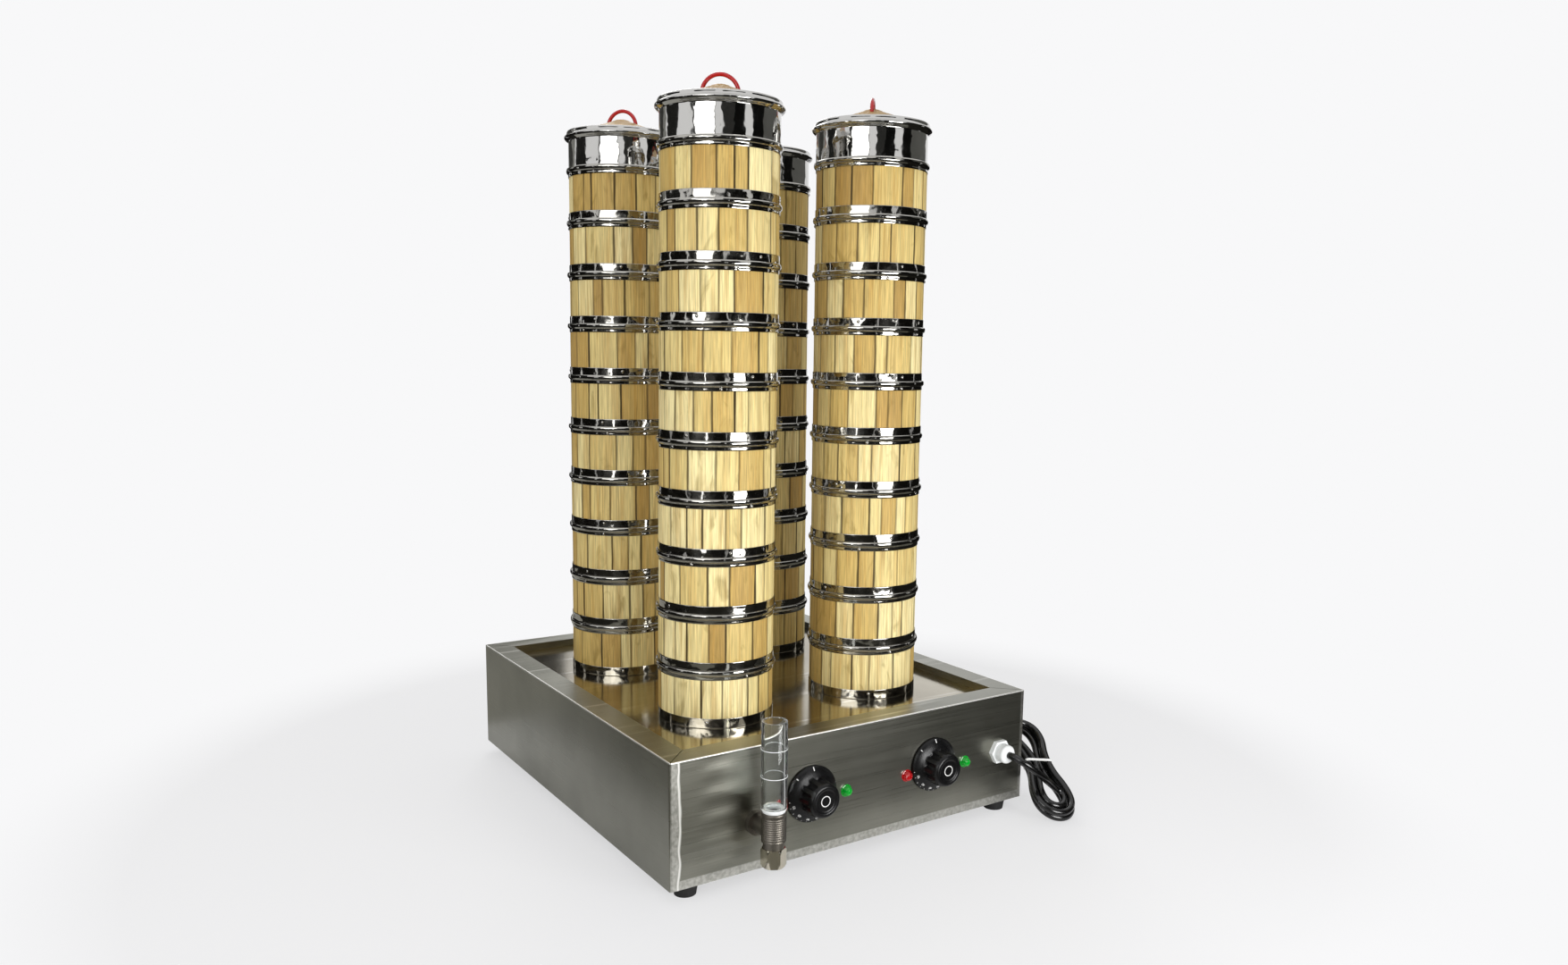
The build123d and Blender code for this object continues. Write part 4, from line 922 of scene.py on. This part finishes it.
line = bpy.data.curves.new("power_lead", "CURVE")
line.dimensions = "3D"
spline = line.splines.new("NURBS")
spline.points.add(len(route) - 1)
for point, place in zip(spline.points, route):
    point.co = (*(place * MM), 1)
spline.order_u = 3
spline.use_endpoint_u = True
spline.resolution_u = 8
line.bevel_depth = CORD_R * MM
line.bevel_resolution = 4
line.use_fill_caps = True
line.materials.append(cord_jacket)
lead = placed("power_lead", line)
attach(lead, "base")
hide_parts("power_cord")
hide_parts("cord_hank")


def tie_band():
    """A flat tie drawn round the waist: at each angle, the farthest strand's centre plus a strand's
    radius, as a narrow band with thickness."""
    layer = HANK_STEP / 2
    strands = np.array([(-7.65, layer), (12.75, layer), (-17.85, layer), (17.85, -layer),
                        (-12.75, -layer), (7.65, -layer), (-2.55, -layer)])
    a = circle(96)
    out = np.stack([np.cos(a), np.sin(a)], -1)
    centre = strands[np.argmax(strands @ out.T, axis=0)]
    points = [from_hank((u, v, n))
              for reach, v in ((0.1, -1.6), (1.1, -1.4), (1.3, 0), (1.1, 1.4), (0.1, 1.6))
              for u, n in centre + out * (CORD_R + reach)]
    return np.array(points), quads_of(5, 96, rows_round=True, cols_round=True), NO_TRIS


piece("cord_tie", "base", tie_band(), tie_plastic, crease=50)

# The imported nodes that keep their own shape
finishes = {
    "casing": case_steel, "deck_plate": deck_steel, "water_tank": tank_steel,
    "bottom_cover": tank_steel, "heaters_and_thermostats": element_steel,
    "rubber_feet": black_rubber, "inlet_tee": nickel, "drain_plug": nickel,
    "cable_gland": white_nylon, "power_plug": black_rubber,
}
for name, finish in finishes.items():
    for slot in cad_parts[name].material_slots:
        slot.material = finish

# Camera, matched to the photograph: turned right by 0.61 radians, down by 0.14, and tilted.
view = bpy.data.cameras.new("camera")
view.sensor_width = 36.0
view.lens = 26.58
view.shift_x = -0.0253
view.shift_y = 0.0240
camera = placed("camera", view)
facing = Matrix.Identity(4)
for angle, axis in ((-0.6064, "Z"), (-0.1429, "X"), (-0.016, "Y"), (pi / 2, "X")):
    facing = facing @ Matrix.Rotation(angle, 4, axis)
camera.matrix_world = Matrix.Translation(Vector((-770.3, -1304.0 + CASE_Y, 571.9)) * MM) @ facing
scene.camera = camera


# Floor, lamps, world, and the dark cards round the set that only polished metal sees


def sheet(name, points, quads):
    """A bare mesh of the set, not a piece of the object."""
    mesh = bpy.data.meshes.new(name)
    mesh.from_pydata(np.asarray(points).tolist(), [], np.asarray(quads).tolist())
    made = placed(name, mesh)
    return made


half = 12.0
floor = sheet("floor", [(-half, -half, 0), (half, -half, 0), (half, half, 0), (-half, half, 0)],
              [(0, 1, 2, 3)])
floor_paint, tree, shader = material("pale_floor")
feed(shader, {"Base Color": "#F4F4F5", "Roughness": 0.9, "Specular IOR Level": 0.1})
# Away from the object the floor turns into the backdrop, so no line shows between them.
place = add(tree, "TexCoord", out="Object")
away = add(tree, "VectorMath", [place], out="Value", operation="LENGTH")
fade = add(tree, "MapRange", [away, 0.42, 0.95], interpolation_type="SMOOTHSTEP")
seen = add(tree, "LightPath", out=None)
direct = [seen["Is Camera Ray"], seen["Is Transmission Ray"]]
direct = add(tree, "Math", direct, operation="MAXIMUM")
fade = add(tree, "Math", [fade, 0.6], operation="MAXIMUM")
share = add(tree, "Math", [fade, direct], operation="MULTIPLY")
glow = add(tree, "Emission", {"Color": BACKDROP, "Strength": 1.0})
both = add(tree, "MixShader", [share, shader.outputs[0], glow])
feed(tree.nodes["Material Output"], {"Surface": both})
floor.data.materials.append(floor_paint)


def card(name, points, quads, shade):
    """A dark card that only reflections see, as a product photographer's flags are."""
    made = sheet(name, points, quads)
    paint, tree, shader = material(name)
    feed(shader, {"Base Color": shade, "Roughness": 1.0, "Specular IOR Level": 0.0})
    made.data.materials.append(paint)
    made.visible_camera = False
    made.visible_diffuse = False
    made.visible_shadow = False
    made.visible_transmission = False


def upright(name, start, end, low, high, shade):
    """A card bent round the object: angles from start to end, heights from low to high."""
    a = np.radians(np.linspace(start, end, 12))[:, None]
    points = around(CARD_R, a, np.array([low, high])).reshape(-1, 3)
    card(name, points, quads_of(12, 2), shade)


# Low cards darken the hoops, with slits that make their bright patches. One is only 0.4 m high.
for n, (start, end) in enumerate([(-176, -146), (-142, -107), (-104, -70), (-66, -20), (-16, 34),
                                  (38, 74), (74, 98), (102, 140), (145, 180)]):
    upright(f"low_card_{n}", start, end, 0, 0.4 if start == 38 else CARD_SPLIT, "#1B1A18")
# High cards give the lids' walls their tall streaks.
for n, (start, end, shade) in enumerate([
        (-170, -154, "#161615"), (-154, -128, "#6A6A66"), (-116, -98, "#3C3C3A"),
        (-98, -78, "#161615"), (-62, -38, "#161615"), (-38, 14, "#6E6E6A"), (66, 92, "#7A7A76"),
        (92, 112, "#4A4A47"), (112, 124, "#9A9A95"), (128, 160, "#2A2A28")]):
    upright(f"high_card_{n}", start, end, CARD_SPLIT, CARD_TOP, shade)
# The floor's cards leave a pale margin round the casing, then a grey one, and darken what the
# front panel mirrors towards its right. Each is a grid with some of its fields left out.
near, front = (-0.75, 0.75), (-0.8, -0.355)
for name, xs, ys, shade, holes in (
        ("side_floor_card", (-0.75, -0.37, 0.37, 0.75), (-0.355, 0.42), "#7E7D75", [1]),
        ("back_floor_card", near, (0.42, 1.4), "#BDBCB5", []),
        ("far_floor_card", (-CARD_R, *near, CARD_R), (-CARD_R, -0.8, 1.4, CARD_R), "#2A2925", [4]),
        ("front_floor_card_1", (-0.75, 0.0), front, "#7E7D75", []),
        ("front_floor_card_2", (0.0, 0.12), front, "#45443D", []),
        ("front_floor_card_3", (0.12, 0.75), front, "#24231F", [])):
    points = np.stack(np.meshgrid(xs, ys, 0.001, indexing="ij"), -1).reshape(-1, 3)
    card(name, points, np.delete(quads_of(len(xs), len(ys)), holes, 0), shade)


def lamp(name, place, target, size, power):
    """A square soft light aimed at a point."""
    data = bpy.data.lights.new(name, "AREA")
    data.size = size
    data.energy = power
    made = placed(name, data)
    made.location = place
    made.rotation_euler = (Vector(target) - Vector(place)).to_track_quat("-Z", "Y").to_euler()


lamp("key", (0.25, -1.55, 0.18), (0, 0, 0.1), 0.7, 18)
lamp("fill", (-1.9, -1.2, 0.8), (0, 0, 0.3), 1.4, 20)
lamp("back", (0.6, 2.2, 1.9), (0, 0, 0.5), 1.2, 20)

# The world shows its backdrop to the camera, metal and glass, and lights the rest at half of it.
world = bpy.data.worlds.new("studio")
scene.world = world
world.use_nodes = True
tree = world.node_tree
rays = add(tree, "LightPath", out=None)
seen = add(tree, "Math", [rays["Is Camera Ray"], rays["Is Glossy Ray"]], operation="MAXIMUM")
seen = add(tree, "Math", [seen, rays["Is Transmission Ray"]], operation="MAXIMUM")
strength = add(tree, "MapRange", [seen, 0, 1, 0.5, 1])
feed(tree.nodes["Background"], {"Color": BACKDROP, "Strength": strength})

scene.view_settings.view_transform = "Standard"
